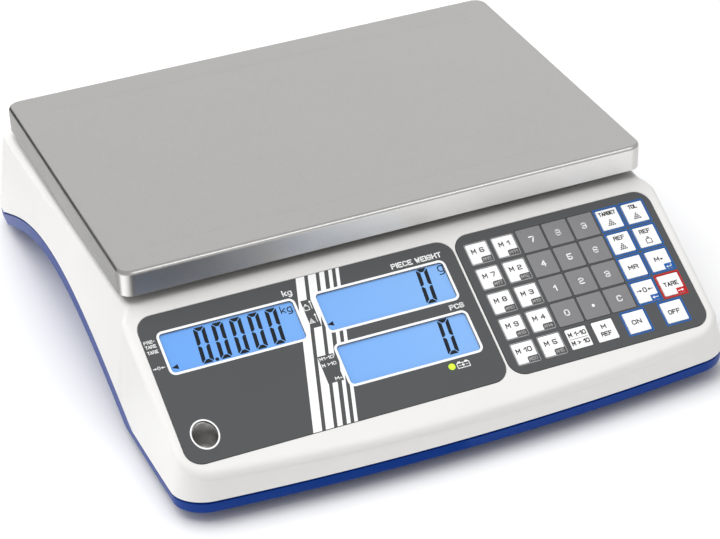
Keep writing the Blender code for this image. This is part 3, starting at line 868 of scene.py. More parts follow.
class SCALE_OT_cover(bpy.types.Operator):
    """Build the white upper housing with its deck, panel recesses and openings"""

    bl_idname = "scale.cover"
    bl_label = "Upper housing"

    def execute(self, context):
        def top_ring(inward, drop):
            return outline_ring(
                TOP_OUTLINE, lambda y: edge_inset(y) + inward, lambda y: top_z(y) - drop
            )

        rings = [outline_ring(BASE_OUTLINE, lambda y: 0.35, parting_z)]
        rings.append(outline_ring(BASE_OUTLINE, lambda y: 0.0, lambda y: parting_z(y) + 0.35))
        for i in range(EDGE_STEPS):
            angle = math.pi / 2 * i / EDGE_STEPS
            inward = EDGE_RADIUS * (1 - math.cos(angle))
            rings.append(top_ring(inward, EDGE_RADIUS * (1 - math.sin(angle))))
        rings.append(top_ring(EDGE_RADIUS, 0))
        inside = [
            outline_ring(BASE_OUTLINE, lambda y: WALL, parting_z),
            top_ring(WALL, DECK_THICKNESS),
        ]
        bm = bmesh.new()
        loops = loft(bm, [*reversed(rings), *inside], cap_first=False, cap_last=False)
        strip_cap(bm, loops[0])
        strip_cap(bm, loops[-1])
        bm = carve(bm, self.panel_cutter())
        bm = carve(bm, self.opening_cutter())
        cover = piece(
            "upper_housing_shell",
            bm,
            finish("moulded_white_abs"),
            "housing",
            "upper_housing",
        )
        even_flats(cover)
        return {"FINISHED"}

    @staticmethod
    def panel_cutter():
        bm = bmesh.new()
        for low, high, depth in (
            (FILM_LOW.x, FILM_HIGH.x, 1.0),
            (KEYPAD_LOW.x, KEYPAD_HIGH.x, 2.0),
        ):
            u, v = grown((low, high), FIT_GAP), grown(OVERLAY_V, FIT_GAP)
            corner = OVERLAY_CORNER + FIT_GAP
            rings = [(0, -depth), (0, -0.25), (0.25, 0.02), (0.25, 5)]
            loft(
                bm,
                [rounded(grown(u, by), grown(v, by), n, corner + by, 12) for by, n in rings],
            )
        bmesh.ops.transform(bm, matrix=PANEL, verts=bm.verts)
        return bm

    @staticmethod
    def opening_cutter():
        bm = bmesh.new()
        for u, v in WINDOWS.values():
            block(bm, u, v, PANEL_HOLE_N)
        prism(bm, circle(*LAMP_UV, 0, LAMP_HOLE_RADIUS), *PANEL_HOLE_N)
        bmesh.ops.transform(bm, matrix=PANEL, verts=bm.verts)
        radius, foot_z = LEVEL_BORE + LEVEL_WALL + 0.4, LEVEL_BOTTOM_Z - 5
        mouth = below_panel(PANEL_HOLE_N[1])
        loft(bm, [level_ring(radius, lambda y: foot_z), level_ring(radius, mouth)])
        hub_low, hub_high = box_mm("load_cell_top_spacer")
        centre = (hub_low + hub_high) / 2
        block(
            bm,
            grown((centre.x, centre.x), DECK_OPENING[0] / 2),
            grown((centre.y, centre.y), DECK_OPENING[1] / 2),
            grown((DECK_Z, DECK_Z), 10),
        )
        jack_low, jack_high = box_mm("power_jack")
        block(
            bm,
            grown((jack_low.x, jack_high.x), FIT_GAP),
            (jack_low.y, jack_high.y + 14),
            grown((jack_low.z, jack_high.z), FIT_GAP),
        )
        return bm


def grip_solid(bm, side, inner_x, outer_x, bottom_z, above, y_range, steps=52):
    """Body under the grip's arch, from inner_x out to outer_x(y). Its roof falls inwards."""
    sections = []
    for i in range(steps + 1):
        y = y_range[0] + (y_range[1] - y_range[0]) * i / steps
        roof = grip_z(y) + above
        inner_roof = BASE_BOTTOM_Z + (grip_z(y) - BASE_BOTTOM_Z) * GRIP_DRAFT + above
        outer = outer_x(y)
        corners = (inner_x, bottom_z), (outer, bottom_z), (outer, roof), (inner_x, inner_roof)
        sections.append([(side * x, y, z) for x, z in corners])
    loft(bm, sections)


class SCALE_OT_base(bpy.types.Operator):
    """Build the blue base with its shadow groove and hand grips, and dress its battery cover"""

    bl_idname = "scale.base"
    bl_label = "Base"

    def execute(self, context):
        def base_ring(inset, z=None, below_parting=0.0):
            height = (lambda y: parting_z(y) - below_parting) if z is None else (lambda y: z)
            return outline_ring(BASE_OUTLINE, lambda y: inset, height)

        outside = [base_ring(1.7, below_parting=drop) for drop in (PARTING_GAP, 1.45)]
        groove_foot = (0.68, 1.5), (0.5, 1.75)
        outside += [base_ring(inset, below_parting=drop) for inset, drop in groove_foot]
        edge = (0.8, 9.0), (0.92, 8.2), (1.2, 7.6), (1.7, 7.15), (2.4, BASE_BOTTOM_Z)
        outside += [base_ring(inset, z) for inset, z in edge]
        inside = [base_ring(0.5 + WALL, below_parting=PARTING_GAP)]
        inside.append(base_ring(0.8 + WALL, BASE_FLOOR_Z))
        bm = bmesh.new()
        loops = loft(bm, [*reversed(outside), *inside], cap_first=False, cap_last=False)
        strip_cap(bm, loops[0])
        strip_cap(bm, loops[-1])
        feet = [sum(box_mm(node), Vector()) / 2 for node in NODES if node.startswith("foot_screw")]
        bm = carve(bm, self.vaults_and_bosses(feet), "UNION")
        bm = carve(bm, self.openings(feet))
        base = piece(
            "lower_housing_shell",
            bm,
            finish("moulded_blue_abs"),
            "housing",
            "lower_housing",
        )
        even_flats(base)
        dress("battery_cover", "moulded_blue_abs")
        return {"FINISHED"}

    @staticmethod
    def vaults_and_bosses(feet):
        def outer_x(y):
            return side_width(y) - WALL

        inner_x, floor_z = GRIP_INNER_X - GRIP_WALL, BASE_BOTTOM_Z + 1
        bm = bmesh.new()
        for side in (-1, 1):
            grip_solid(bm, side, inner_x, outer_x, floor_z, GRIP_WALL, GRIP_ARCH)
        for foot in feet:
            prism(bm, circle(foot.x, foot.y, 0, BOSS_RADIUS), BASE_FLOOR_Z - 1, BOSS_TOP_Z)
        return bm

    @staticmethod
    def openings(feet):
        def outer_x(y):
            return HALF_WIDTH + 10

        bm = bmesh.new()
        for side in (-1, 1):
            grip_solid(bm, side, GRIP_INNER_X, outer_x, -5, 0, grown(GRIP_ARCH, -1))
        for foot in feet:
            prism(bm, circle(foot.x, foot.y, 0, BOSS_BORE), 0, 30)
        low, high = box_mm("battery_cover")
        x, y = (grown((low[i], high[i]), COVER_OPENING_MARGIN) for i in (0, 1))
        block(bm, x, y, (0, 20))
        return bm


TRAY_SHEET, TRAY_CORNER = 1.2, 9.0
# A pressed line runs round the tray's top, this far in from its edge.
TRAY_LINE_INSET, TRAY_LINE_HALF_WIDTH, TRAY_LINE_DEPTH = 23.0, 0.9, 0.22


class SCALE_OT_tray(bpy.types.Operator):
    """Build the stainless weighing tray"""

    bl_idname = "scale.tray"
    bl_label = "Weighing tray"

    def execute(self, context):
        low, high = box_mm("weighing_tray")
        bend, sheet = context.scene.scale_tray.bend_radius, TRAY_SHEET

        def ring(inset, z, radius=None):
            if radius is None:
                radius = max(TRAY_CORNER - inset, 1.5)
            limits = [(low.x + inset, high.x - inset), (low.y + inset, high.y - inset)]
            return rounded(*limits, z, radius, 12)

        rings = [ring(sheet * 0.5, low.z), ring(0.12, low.z + 0.15), ring(0, low.z + 0.4)]
        for i in range(11):
            angle = math.pi / 20 * i
            drop = bend * (1 - math.sin(angle))
            rings.append(ring(bend * (1 - math.cos(angle)), high.z - drop))
        rings += [
            ring(TRAY_LINE_INSET - TRAY_LINE_HALF_WIDTH, high.z, 3.0),
            ring(TRAY_LINE_INSET, high.z - TRAY_LINE_DEPTH, 2.4),
            ring(TRAY_LINE_INSET + TRAY_LINE_HALF_WIDTH, high.z, 2.0),
        ]
        under = [
            ring(sheet, low.z + 0.3),
            ring(sheet, high.z - bend),
            ring(bend, high.z - sheet),
        ]
        bm = bmesh.new()
        loft(bm, [*reversed(rings), *under])
        tray = piece(
            "weighing_tray_sheet",
            bm,
            finish("ground_stainless_steel"),
            "tray",
            "weighing_tray",
            smooth_angle=50,
        )
        even_flats(tray)
        add_grinding_map(tray)
        return {"FINISHED"}


def add_grinding_map(obj):
    """UV map whose U runs along the grinding, from front to back on the top and down the
    skirts, so that the steel's stretched reflections follow it."""
    layer = obj.data.uv_layers.new(name="grinding")
    for face in obj.data.polygons:
        for index in face.loop_indices:
            point = obj.data.vertices[obj.data.loops[index].vertex_index].co
            along = point.y if abs(face.normal.z) > 0.5 else point.z
            across = point.y if abs(face.normal.x) > 0.7 else point.x
            layer.data[index].uv = (along, across)


class SCALE_OT_platform(bpy.types.Operator):
    """Dress the tray's carrier, the load cell and its spacers"""

    bl_idname = "scale.platform"
    bl_label = "Carrier and load cell"

    def execute(self, context):
        dress("tray_carrier", "die_cast_aluminium")
        dress("load_cell", "milled_aluminium")
        for node in ("load_cell_base_spacer", "load_cell_top_spacer"):
            dress(node, "zinc_plated_steel")
        return {"FINISHED"}


class SCALE_OT_feet(bpy.types.Operator):
    """Dress the rubber feet and their screws"""

    bl_idname = "scale.feet"
    bl_label = "Feet"

    def execute(self, context):
        for node in NODES:
            if node.startswith("foot_pad"):
                dress(node, "moulded_black_rubber")
            elif node.startswith("foot_screw"):
                dress(node, "zinc_plated_steel")
        return {"FINISHED"}


# Print on the display film, (u, v) in millimetres.
STRIPE_LEAN = 26.2
STRIPES_AT_FOOT = ((-92.3, -86.9), (-84.6, -79.6), (-77.4, -74.2), (-71.6, -69.3), (-67.0, -64.9))
LABEL_BOXES = (((-69.0, -62.6), (63.8, 82.8)), ((-72.6, -62.8), (27.0, 45.3)))
WINDOW_FRAMES = {
    "lcd_weight": ((-157.7, -72.0), (57.3, 86.5)),
    "lcd_piece_weight": ((-60.7, 24.4), (57.7, 86.1)),
    "lcd_pieces": ((-61.2, 24.4), (21.2, 50.5)),
}


class SCALE_OT_display_film(bpy.types.Operator):
    """Dress the display film and print its stripes, window frames, words and symbols"""

    bl_idname = "scale.display_film"
    bl_label = "Display film"

    def execute(self, context):
        dress("display_overlay", "velvet_grey_polycarbonate_film")
        low, high = FILM_TOP_N - PRINT_ROOT, FILM_TOP_N + INK
        stripes = bmesh.new()
        foot, head = OVERLAY_V[0] + 0.05, OVERLAY_V[1] - 0.05
        for left, right in STRIPES_AT_FOOT:
            at_foot = [(left, foot), (right, foot)]
            at_head = [(right + STRIPE_LEAN, head), (left + STRIPE_LEAN, head)]
            prism(stripes, at_foot + at_head, low, high)
        holes = bmesh.new()
        for u, v in WINDOW_FRAMES.values():
            prism(holes, rounded(grown(u, -0.6), grown(v, -0.6), 0, 3.4), -2, 2)
        for u, v in LABEL_BOXES:
            block(holes, u, v, (-2, 2))
        bm = carve(stripes, holes)
        for name, (u, v) in WINDOW_FRAMES.items():
            inner = rounded(*WINDOWS[name], 0, 2.5)
            frame_band(bm, rounded(u, v, 0, 4.0), inner, low, high + 0.01)
        stretch = 1 / math.cos(PANEL_ANGLE)
        rims = [
            oval(*LEVEL_UV, lambda y: 0, radius, radius * stretch)
            for radius in (LEVEL_BORE + 1.1, LEVEL_BORE + 0.22)
        ]
        frame_band(bm, *rims, low, high)
        self.words(bm, low, high)
        self.symbols(bm, low, high)
        piece(
            "display_film_print",
            bm,
            finish("white_screen_ink"),
            "housing",
            on_panel=True,
            smooth_angle=0,
        )
        return {"FINISHED"}

    @staticmethod
    def words(bm, low, high):
        lettering(bm, "PIECE WEIGHT", 3.6, 24.4, 87.8, low, high, 32.6, 0.75, "RIGHT")
        lettering(bm, "PCS", 3.4, 24.4, 52.1, low, high, 9.3, 0.75, "RIGHT")
        lettering(bm, "kg", 4.0, -71.6, 88.4, low, high, 6.0, 0.7, "RIGHT")
        for text, v in (("PRE-", 80.6), ("TARE", 77.5), ("TARE", 73.8)):
            lettering(bm, text, 2.2, -162.7, v, low, high, 6.6, 0.42)
        lettering(bm, "0", 2.3, -162.7, 63.0, low, high, 1.8, 0.45)
        for side in (-1, 1):
            tail, tip = (-162.7 + side * 3.5, 64.1), (-162.7 + side * 1.2, 64.1)
            arrow(bm, tail, tip, 0.4, 0.9, low, high)
        lettering(bm, "M1-10", 2.2, -63.2, 42.2, low, high, 8.8, 0.42, "RIGHT")
        lettering(bm, "M >10", 2.2, -63.2, 37.9, low, high, 8.8, 0.42, "RIGHT")
        lettering(bm, "M+", 2.2, -63.2, 28.1, low, high, 4.4, 0.42, "RIGHT")

    @staticmethod
    def symbols(bm, low, high):
        weight_outline(bm, (-67.0, 77.6), 3.2, 0.4, low, high)
        dot_pyramid(bm, (-67.0, 68.6), 0.95, low, high)
        for v in (76.6, 67.6):
            arrow(bm, (-63.8, v), (-63.8, v + 5.4), 0.4, 1.1, low, high)
        u, v = (4.5, 12.6), (14.5, 18.2)
        inner = rounded(grown(u, -0.45), grown(v, -0.45), 0, 0.15, 2)
        frame_band(bm, rounded(u, v, 0, 0.3, 2), inner, low, high)
        for left in (5.4, 9.9):
            block(bm, (left, left + 1.8), (v[1] + 0.02, v[1] + 0.75), (low, high))
        for centre in (6.3, 10.8):
            block(bm, (centre - 0.8, centre + 0.8), (16.2, 16.5), (low, high))
        bolt = [(8.9, 17.9), (7.3, 16.1), (8.4, 16.1), (7.9, 14.9), (9.7, 16.6), (8.6, 16.6)]
        prism(bm, bolt, low, high)


def arrow(bm, tail, tip, width, head, low, high):
    """Straight arrow from tail to tip."""
    a, b = Vector(tail), Vector(tip)
    along = (b - a).normalized()
    across = Vector((-along.y, along.x))
    neck = b - along * head * 1.2
    stroke(bm, [a, neck], width, low, high)
    prism(bm, [b, neck + across * head * 0.8, neck - across * head * 0.8], low, high)


def weight_outline(bm, centre, size, width, low, high):
    """Outline of a laboratory weight: a squat body with a knob on top."""
    x, y = centre
    half = size / 2
    body = [(x - half, y - half), (x + half, y - half), (x + half, y + half * 0.5),
            (x + half * 0.45, y + half * 0.8), (x - half * 0.45, y + half * 0.8),
            (x - half, y + half * 0.5), (x - half, y - half)]
    stroke(bm, body, width, low, high)
    knob = circle(x, y + half * 1.15, 0, half * 0.42, 12)
    hole = circle(x, y + half * 1.15, 0, half * 0.16, 12)
    frame_band(bm, knob, hole, low, high)


def dot_pyramid(bm, centre, pitch, low, high, rows=4):
    """Pile of small parts, drawn as a triangle of dots."""
    x, y = centre
    for row in range(rows):
        for i in range(rows - row):
            dot_x = x + pitch * (i - (rows - row - 1) / 2)
            prism(bm, circle(dot_x, y + (row - 1.5) * pitch * 0.9, 0, pitch * 0.4, 8), low, high)


DIGIT_SIZE = (7.2, 23.6)
DIGIT_LEAN = 1.9
FIRST_DIGIT_U, DIGIT_PITCH = -137.4, 11.05
SEGMENT_WIDTH = 2.55
SEGMENT_GAP = 0.17
SEGMENT_CHAMFER = 1.1
LIT = {"0": "abcdef", "1": "bc", "2": "abged", "3": "abgcd", "4": "fgbc", "5": "afgcd",
       "6": "afgedc", "7": "abc", "8": "abcdefg", "9": "abcdfg"}


def seven_segments(bm, figure, left, bottom, low, high):
    """One leaning digit of flat bars, mitred at the corners with hairline gaps."""
    width, height = DIGIT_SIZE
    w, g = SEGMENT_WIDTH, SEGMENT_GAP
    middle = height / 2
    c = SEGMENT_CHAMFER
    top = [(c / 2 + g, g - c / 2), (c, 0), (width - c, 0), (width - c / 2 - g, g - c / 2),
           (width - w - g, g - w), (w + g, g - w)]
    upper = [(c / 2 - g, -c / 2 - g), (w - g, -w - g), (w - g, -middle + w / 2 + g),
             (w * 0.45, -middle + g * 1.5), (0, -middle + g * 2), (0, -c)]
    bars = {
        "a": top,
        "d": [(x, -height - y) for x, y in top],
        "f": upper,
        "b": [(width - x, y) for x, y in upper],
        "e": [(x, -height - y) for x, y in upper],
        "c": [(width - x, -height - y) for x, y in upper],
        "g": [
            (w / 2 + g, -middle),
            (w + g, -middle + w / 2),
            (width - w - g, -middle + w / 2),
            (width - w / 2 - g, -middle),
            (width - w - g, -middle - w / 2),
            (w + g, -middle - w / 2),
        ],
    }
    for name in LIT[figure]:
        outline = []
        for x, y in bars[name]:
            lean = DIGIT_LEAN * (height + y) / height
            outline.append((left + x + lean, bottom + height + y))
        prism(bm, outline, low, high)


class SCALE_OT_displays(bpy.types.Operator):
    """Dress the three displays and switch on their digits, units and pointers"""

    bl_idname = "scale.displays"
    bl_label = "Displays"

    def execute(self, context):
        for node in WINDOWS:
            dress(node, "backlit_liquid_crystal")
        low, high = LENS_TOP_N - 0.01, LENS_TOP_N + 0.03
        marks = {name: bmesh.new() for name in WINDOWS}
        left = FIRST_DIGIT_U
        for figure in context.scene.scale_panel.weight_shown:
            if figure == ".":
                prism(marks["lcd_weight"], circle(left - 2.05, 60.9, 0, 1.15, 20), low, high)
                continue
            seven_segments(marks["lcd_weight"], figure, left, 60.1, low, high)
            left += DIGIT_PITCH
        seven_segments(marks["lcd_piece_weight"], "0", 3.6, 60.5, low, high)
        seven_segments(marks["lcd_pieces"], "0", 2.8, 25.0, low, high)
        lettering(marks["lcd_weight"], "kg", 4.8, -75.0, 78.4, low, high, 7.2, 0.62, "RIGHT")
        lettering(marks["lcd_piece_weight"], "g", 6.4, 22.6, 78.7, low, high, 3.9, 0.65, "RIGHT")
        for name, (u, v) in (("lcd_weight", (-155.4, 62.8)), ("lcd_piece_weight", (-60.2, 64.1))):
            tip = max(u, WINDOWS[name][0][0] + 0.3)
            prism(marks[name], [(tip, v), (tip + 4.0, v - 1.7), (tip + 4.0, v + 1.5)], low, high)
        for name, bm in marks.items():
            piece(
                f"{name}_digits",
                bm,
                finish("switched_on_segment"),
                "housing",
                on_panel=True,
                smooth_angle=0,
            )
        return {"FINISHED"}


class SCALE_OT_level(bpy.types.Operator):
    """Build the bubble level's polished well"""

    bl_idname = "scale.level"
    bl_label = "Bubble level"

    def execute(self, context):
        bore, radius = LEVEL_BORE, LEVEL_BORE + LEVEL_WALL
        mouth, chamfer = below_panel(LEVEL_MOUTH_N), below_panel(LEVEL_MOUTH_N - 0.25)
        rings = [level_ring(radius, lambda y: LEVEL_BOTTOM_Z), level_ring(radius, chamfer)]
        rings += [level_ring(radius - 0.2, mouth), level_ring(bore + 0.2, mouth)]
        rings.append(level_ring(bore, chamfer))
        for i in range(12):
            angle = math.pi / 24 * i
            floor_z = LEVEL_BOWL_Z - LEVEL_BOWL_DEPTH * math.sin(angle)
            rings.append(level_ring(bore * math.cos(angle), lambda y, z=floor_z: z))
        bm = bmesh.new()
        loft(bm, rings)
        piece(
            "level_well",
            bm,
            finish("polished_grey_polycarbonate"),
            "housing",
            "level_vial",
        )
        return {"FINISHED"}


class SCALE_OT_lamp(bpy.types.Operator):
    """Switch on the charge lamp"""

    bl_idname = "scale.lamp"
    bl_label = "Charge lamp"

    def execute(self, context):
        dress("charge_led", "lit_green_lens")
        return {"FINISHED"}


# Words on the keys: text, capital height, baseline above the key's centre and width.
KEY_WORDS = {
    "target": (("TARGET", 2.7, 2.9, 11.4),),
    "tolerance": (("TOL", 2.8, 2.9, 6.0),),
    "ref_pieces": (("REF", 3.0, 2.2, 7.4),),
    "ref_weight": (("REF", 3.0, 2.2, 7.4),),
    "memory_recall": (("MR", 3.0, -1.5, 6.6),),
    "memory_add": (("M+", 3.0, -0.6, 5.6),),
    "tare": (("TARE", 3.0, -1.0, 9.8),),
    "on": (("ON", 3.0, -1.5, 6.4),),
    "off": (("OFF", 3.0, -1.5, 8.0),),
    "memory_bank": (("M 1-10", 3.0, 1.4, 11.6), ("M > 10", 3.0, -4.4, 11.6)),
    "memory_ref": (("M", 2.9, 1.3, 3.2), ("REF", 2.9, -3.6, 7.0)),
}
RIM_REACH = 1.25
MEMORY_RIM_REACH = 0.7


def is_function_key(node):
    name = node.removeprefix("key_")
    return name in KEY_WORDS and name not in ("memory_bank", "memory_ref") or name == "zero"


class SCALE_OT_keypad(bpy.types.Operator):
    """Dress the keypad film and build the printed keys"""

    bl_idname = "scale.keypad"
    bl_label = "Keypad"

    def execute(self, context):
        dress("keypad_overlay", "velvet_grey_polycarbonate_film")
        to_panel = PANEL.inverted()
        rims = {ink: bmesh.new() for ink in ("blue", "red", "pale")}
        for node in sorted(NODES):
            if not node.startswith("key_"):
                continue
            corners = [to_panel @ (v.co / MM) for v in NODES[node].data.vertices]
            low = Vector([min(c[i] for c in corners) for i in range(3)])
            high = Vector([max(c[i] for c in corners) for i in range(3)])
            self.build_key(node, low, high)
            if is_function_key(node):
                ink = "red" if node == "key_tare" else "blue"
                self.print_rim(rims[ink], low, high, RIM_REACH)
            elif node.startswith("key_m") and node[5:].isdigit():
                self.print_rim(rims["pale"], low, high, MEMORY_RIM_REACH)
        for ink, bm in rims.items():
            name, colour = f"keypad_{ink}_rim_print", finish(f"{ink}_screen_ink")
            piece(name, bm, colour, "housing", on_panel=True, smooth_angle=0)
        return {"FINISHED"}

    @staticmethod
    def print_rim(bm, low, high, reach):
        """Border printed on the film round a key."""
        limits = (low.x, high.x), (low.y, high.y)
        outer = rounded(*(grown(limit, reach) for limit in limits), 0, 0.9, 3)
        inner = rounded(*(grown(limit, 0.32) for limit in limits), 0, 0.15, 3)
        frame_band(bm, outer, inner, FILM_TOP_N - PRINT_ROOT, FILM_TOP_N + INK)

    def build_key(self, node, low, high):
        name = node.removeprefix("key_")
        is_number = name.isdigit() or name in ("point", "clear")
        is_memory = not is_number and not is_function_key(node)
        cushion = 0.12
        bm = bmesh.new()
        rings = []
        for inset, n, radius in (
            (0.0, low.z, 0.5),
            (0.0, high.z - cushion, 0.5),
            (0.06, high.z - cushion / 3, 0.5),
            (0.25, high.z, 0.4),
        ):
            limits = ((low.x + inset, high.x - inset), (low.y + inset, high.y - inset))
            rings.append(rounded(*limits, n, radius, 3))
        loft(bm, rings)
        film = "grey_key_film" if is_number else "white_key_film"
        piece(f"{node}_pad", bm, finish(film), node, node, on_panel=True)
        self.print_key(node, name, low, high, is_number, is_memory)

    def print_key(self, node, name, low, high, is_number, is_memory):
        base, top = high.z - 0.02, high.z + INK
        centre = (low + high) / 2
        inks = {ink: bmesh.new() for ink in ("grey", "white", "blue", "red", "film", "pale")}
        if is_number:
            if name == "point":
                prism(inks["white"], circle(centre.x, centre.y, 0, 1.0, 20), base, top)
            else:
                text, width = "C" if name == "clear" else name, 2.0 if name == "1" else 3.4
                place = centre.x, centre.y - 2.15
                lettering(inks["white"], text, 4.3, *place, base, top, width, 0.75)
        elif is_memory:
            if name[1:].isdigit():
                self.memory_marks(inks, int(name[1:]), low, high, base, top)
            else:
                for text, size, rise, width in KEY_WORDS[name]:
                    place = centre.x, centre.y + rise
                    lettering(inks["grey"], text, size, *place, base, top, width)
                if name == "memory_bank":
                    line_u = grown((low.x, high.x), -0.9)
                    line_v = grown((centre.y - 0.2, centre.y - 0.2), 0.13)
                    block(inks["grey"], line_u, line_v, (base, top))
        else:
            self.function_marks(inks, name, centre, low, high, base, top)
        for ink, bm in inks.items():
            if bm.faces:
                colour = finish(f"{ink}_screen_ink")
                piece(f"{node}_{ink}_print", bm, colour, node, on_panel=True, smooth_angle=0)
            else:
                bm.free()

    @staticmethod
    def memory_marks(inks, number, low, high, base, top):
        size = high.x - low.x
        width = {1: 7.2, 10: 10.2}.get(number, 8.3)
        place = low.x + size * 0.48, low.y + size * 0.5
        lettering(inks["grey"], f"M {number}", 3.3, *place, base, top, width)
        tab_u, tab_v = (high.x - 7.0, high.x - 0.02), (low.y + 0.02, low.y + 3.8)
        tab = [(tab_u[0], tab_v[0]), (tab_u[1], tab_v[0]), (tab_u[1], tab_v[1]),
               (tab_u[0] + 0.8, tab_v[1]), (tab_u[0], tab_v[1] - 0.8)]
        prism(inks["film"], tab, base, top - 0.01)
        middle = sum(tab_u) / 2, sum(tab_v) / 2 - 1.15
        over = (top - 0.02, top + 0.02)
        lettering(inks["pale"], f"M{number + 10}", 2.3, *middle, *over, 5.4, 0.42)

    @staticmethod
    def function_marks(inks, name, centre, low, high, base, top):
        rim = "red" if name == "tare" else "blue"
        outer = rounded((low.x + 0.02, high.x - 0.02), (low.y + 0.02, high.y - 0.02), 0, 0.5, 3)
        inner = rounded((low.x + 0.2, high.x - 0.2), (low.y + 0.2, high.y - 0.2), 0, 0.4, 3)
        frame_band(inks[rim], outer, inner, base, top)
        for text, size, rise, width in KEY_WORDS.get(name, ()):
            lettering(inks["grey"], text, size, centre.x, centre.y + rise, base, top, width)
        if name in ("target", "tolerance", "ref_pieces"):
            dot_pyramid(inks["grey"], (centre.x, centre.y - 2.4), 1.3, base, top)
        if name == "ref_weight":
            weight_outline(inks["grey"], (centre.x, centre.y - 3.0), 3.6, 0.45, base, top)
        if name == "zero":
            lettering(inks["grey"], "0", 3.3, centre.x, centre.y - 0.6, base, top, 2.6)
            for side in (-1, 1):
                tail, tip = [(centre.x + side * reach, centre.y + 1.0) for reach in (5.2, 1.9)]
                arrow(inks["grey"], tail, tip, 0.5, 1.2, base, top)
        if name in ("memory_add", "zero", "tare"):
            tab_u, tab_v = (high.x - 5.6, high.x - 0.03), (low.y + 0.03, low.y + 3.9)
            block(inks[rim], tab_u, tab_v, (base, top + 0.01))
            x, y = (tab_u[0] + tab_u[1]) / 2, (tab_v[0] + tab_v[1]) / 2
            over = (top - 0.01, top + 0.04)
            if name == "memory_add":
                bend = [(x + 1.5, y + 1.1), (x + 1.5, y - 0.4), (x - 0.6, y - 0.4)]
                stroke(inks["white"], bend, 0.4, *over)
                arrow(inks["white"], (x - 0.4, y - 0.4), (x - 1.9, y - 0.4), 0.4, 1.0, *over)
            else:
                way = 1.9 if name == "tare" else -1.9
                arrow(inks["white"], (x - way, y), (x + way, y), 0.45, 1.2, *over)


class SCALE_OT_inside(bpy.types.Operator):
    """Dress the circuit board, the battery and the power socket"""

    bl_idname = "scale.inside"
    bl_label = "Board, battery and socket"

    def execute(self, context):
        dress("main_board", "glass_fibre_board")
        dress("battery_pack", "moulded_charcoal_abs")
        dress("power_jack", "moulded_black_nylon")
        return {"FINISHED"}


class SCALE_OT_stage(bpy.types.Operator):
    """Set up the white floor, the soft lights and the camera"""

    bl_idname = "scale.stage"
    bl_label = "Stage"

    def execute(self, context):
        scene, stage = context.scene, context.scene.scale_stage
        bm = bmesh.new()
        bmesh.ops.create_grid(bm, x_segments=2, y_segments=2, size=6.0)
        floor = bpy.data.objects.new("floor", finish_mesh(bm, "floor", 0))
        scene.collection.objects.link(floor)
        floor.data.materials.append(finish("white_studio_paper"))
        self.lights(scene, stage)
        # Cards seen only in reflections, where they paint shade into the steel tray.
        for name, cloth, *limits in FLAGS:
            bm = bmesh.new()
            block(bm, *limits)
            card = bpy.data.objects.new(name, finish_mesh(bm, name, 0))
            scene.collection.objects.link(card)
            card.data.materials.append(finish(cloth))
            card.visible_camera = card.visible_diffuse = card.visible_shadow = False
        camera = bpy.data.objects.new("camera", bpy.data.cameras.new("camera"))
        scene.collection.objects.link(camera)
        camera.matrix_world = (
            Matrix.Translation(stage.camera_place)
            @ Matrix.Rotation(-stage.azimuth, 4, "Z")
            @ Matrix.Rotation(math.pi / 2 - stage.elevation, 4, "X")
            @ Matrix.Rotation(stage.roll, 4, "Z")
        )
        camera.data.lens = stage.lens
        camera.data.sensor_width = 36
        camera.data.clip_start, camera.data.clip_end = 0.05, 50
        scene.camera = camera
        scene.view_settings.view_transform = "Standard"
        return {"FINISHED"}

    @staticmethod
    def lights(scene, stage):
        world = bpy.data.worlds.new("studio")
        scene.world = world
        world.use_nodes = True
        background = world.node_tree.nodes["Background"]
        background.inputs["Color"].default_value = (1, 1, 1, 1)
        background.inputs["Strength"].default_value = stage.fill
        for name, place, aim, size, power, share in SOFTBOXES:
            light = bpy.data.lights.new(name, "AREA")
            light.shape, light.size, light.size_y = "RECTANGLE", *size
            light.energy = power
            holder = bpy.data.objects.new(name, light)
            scene.collection.objects.link(holder)
            holder.location = place
            holder.visible_camera = False
            holder.visible_diffuse, holder.visible_glossy = share
            way = Vector(aim) - Vector(place)
            holder.rotation_euler = way.to_track_quat("-Z", "Y").to_euler()


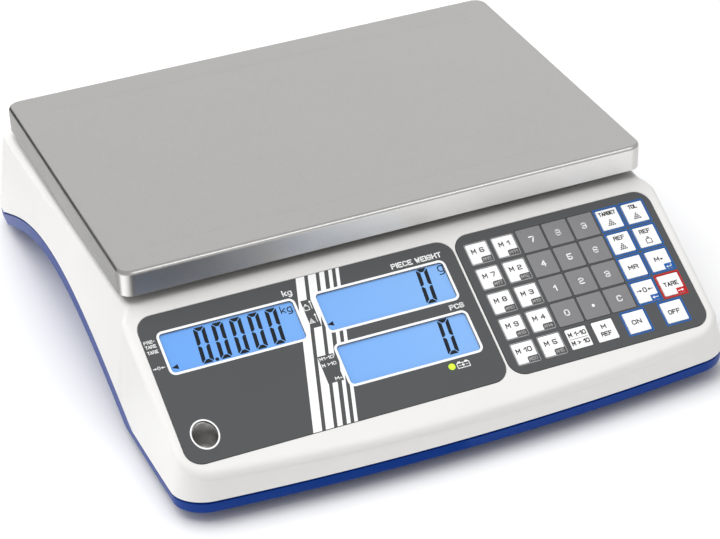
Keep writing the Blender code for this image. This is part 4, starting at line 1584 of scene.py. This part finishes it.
# Softboxes: name, place, aim and size in metres, power in watts, and whether they light
# diffuse surfaces and show in glossy ones.
SOFTBOXES = (
    ("overhead", (-0.35, 0.4, 1.7), (0, 0, 0.05), (2.2, 1.9), 31.5, (True, False)),
    ("left", (-1.6, 0.3, 0.9), (0, 0, 0.05), (1.2, 0.9), 2.8, (True, False)),
    ("backdrop", (0.9, 1.9, 1.25), (0, 0, 0.1), (3.2, 1.8), 5.6, (False, True)),
    ("front strip", (0.6, -1.1, 1.6), (0, 0, 0.1), (1.6, 0.5), 7.0, (False, True)),
    ("front bounce", (0.3, -0.4, 0.004), (0.3, -0.4, 1), (0.5, 0.36), 0.4, (False, True)),
    (
        "corner bounce",
        (-0.33, -0.14, 0.004),
        (-0.33, -0.14, 1),
        (0.14, 0.14),
        0.05,
        (False, True),
    ),
)
# Cards that only glossy rays see: painted shade in the steel tray's reflections. Each has a name,
# a material, and x, y and z limits in metres.
FLAGS = (
    ("front_flag", "moulded_black_rubber", (-0.24, 0.0), (-0.7, -0.2), (0.0005, 0.0015)),
    ("side_flag", "grey_studio_cloth", (-0.75, -0.2), (-0.05, 0.55), (0.0005, 0.0015)),
    ("rear_flag", "moulded_black_rubber", (-2.2, -0.35), (1.2, 1.201), (0.0005, 1.0)),
)


OPERATORS = (
    SCALE_OT_finishes,
    SCALE_OT_cover,
    SCALE_OT_base,
    SCALE_OT_tray,
    SCALE_OT_platform,
    SCALE_OT_feet,
    SCALE_OT_display_film,
    SCALE_OT_displays,
    SCALE_OT_level,
    SCALE_OT_lamp,
    SCALE_OT_keypad,
    SCALE_OT_inside,
    SCALE_OT_stage,
)


class SCALE_PT_panel(bpy.types.Panel):
    """Sidebar panel that lists the scale's pieces and their settings"""

    bl_idname = "SCALE_PT_panel"
    bl_label = "Counting Scale"
    bl_space_type = "VIEW_3D"
    bl_region_type = "UI"
    bl_category = "Counting Scale"

    def draw(self, context):
        column = self.layout.column(align=True)
        for operator in OPERATORS:
            column.operator(operator.bl_idname)
        for name, group in SETTINGS.items():
            for setting in group.__annotations__:
                self.layout.prop(getattr(context.scene, name), setting)


def register():
    for cls in (*SETTINGS.values(), *OPERATORS, SCALE_PT_panel):
        bpy.utils.register_class(cls)
    for name, group in SETTINGS.items():
        setattr(bpy.types.Scene, name, PointerProperty(type=group))


def unregister():
    for name in SETTINGS:
        delattr(bpy.types.Scene, name)
    for cls in reversed((*SETTINGS.values(), *OPERATORS, SCALE_PT_panel)):
        bpy.utils.unregister_class(cls)


def main():
    register()
    for operator in OPERATORS:
        group, name = operator.bl_idname.split(".")
        getattr(getattr(bpy.ops, group), name)()
    bpy.context.view_layer.update()


if __name__ == "__main__":
    main()
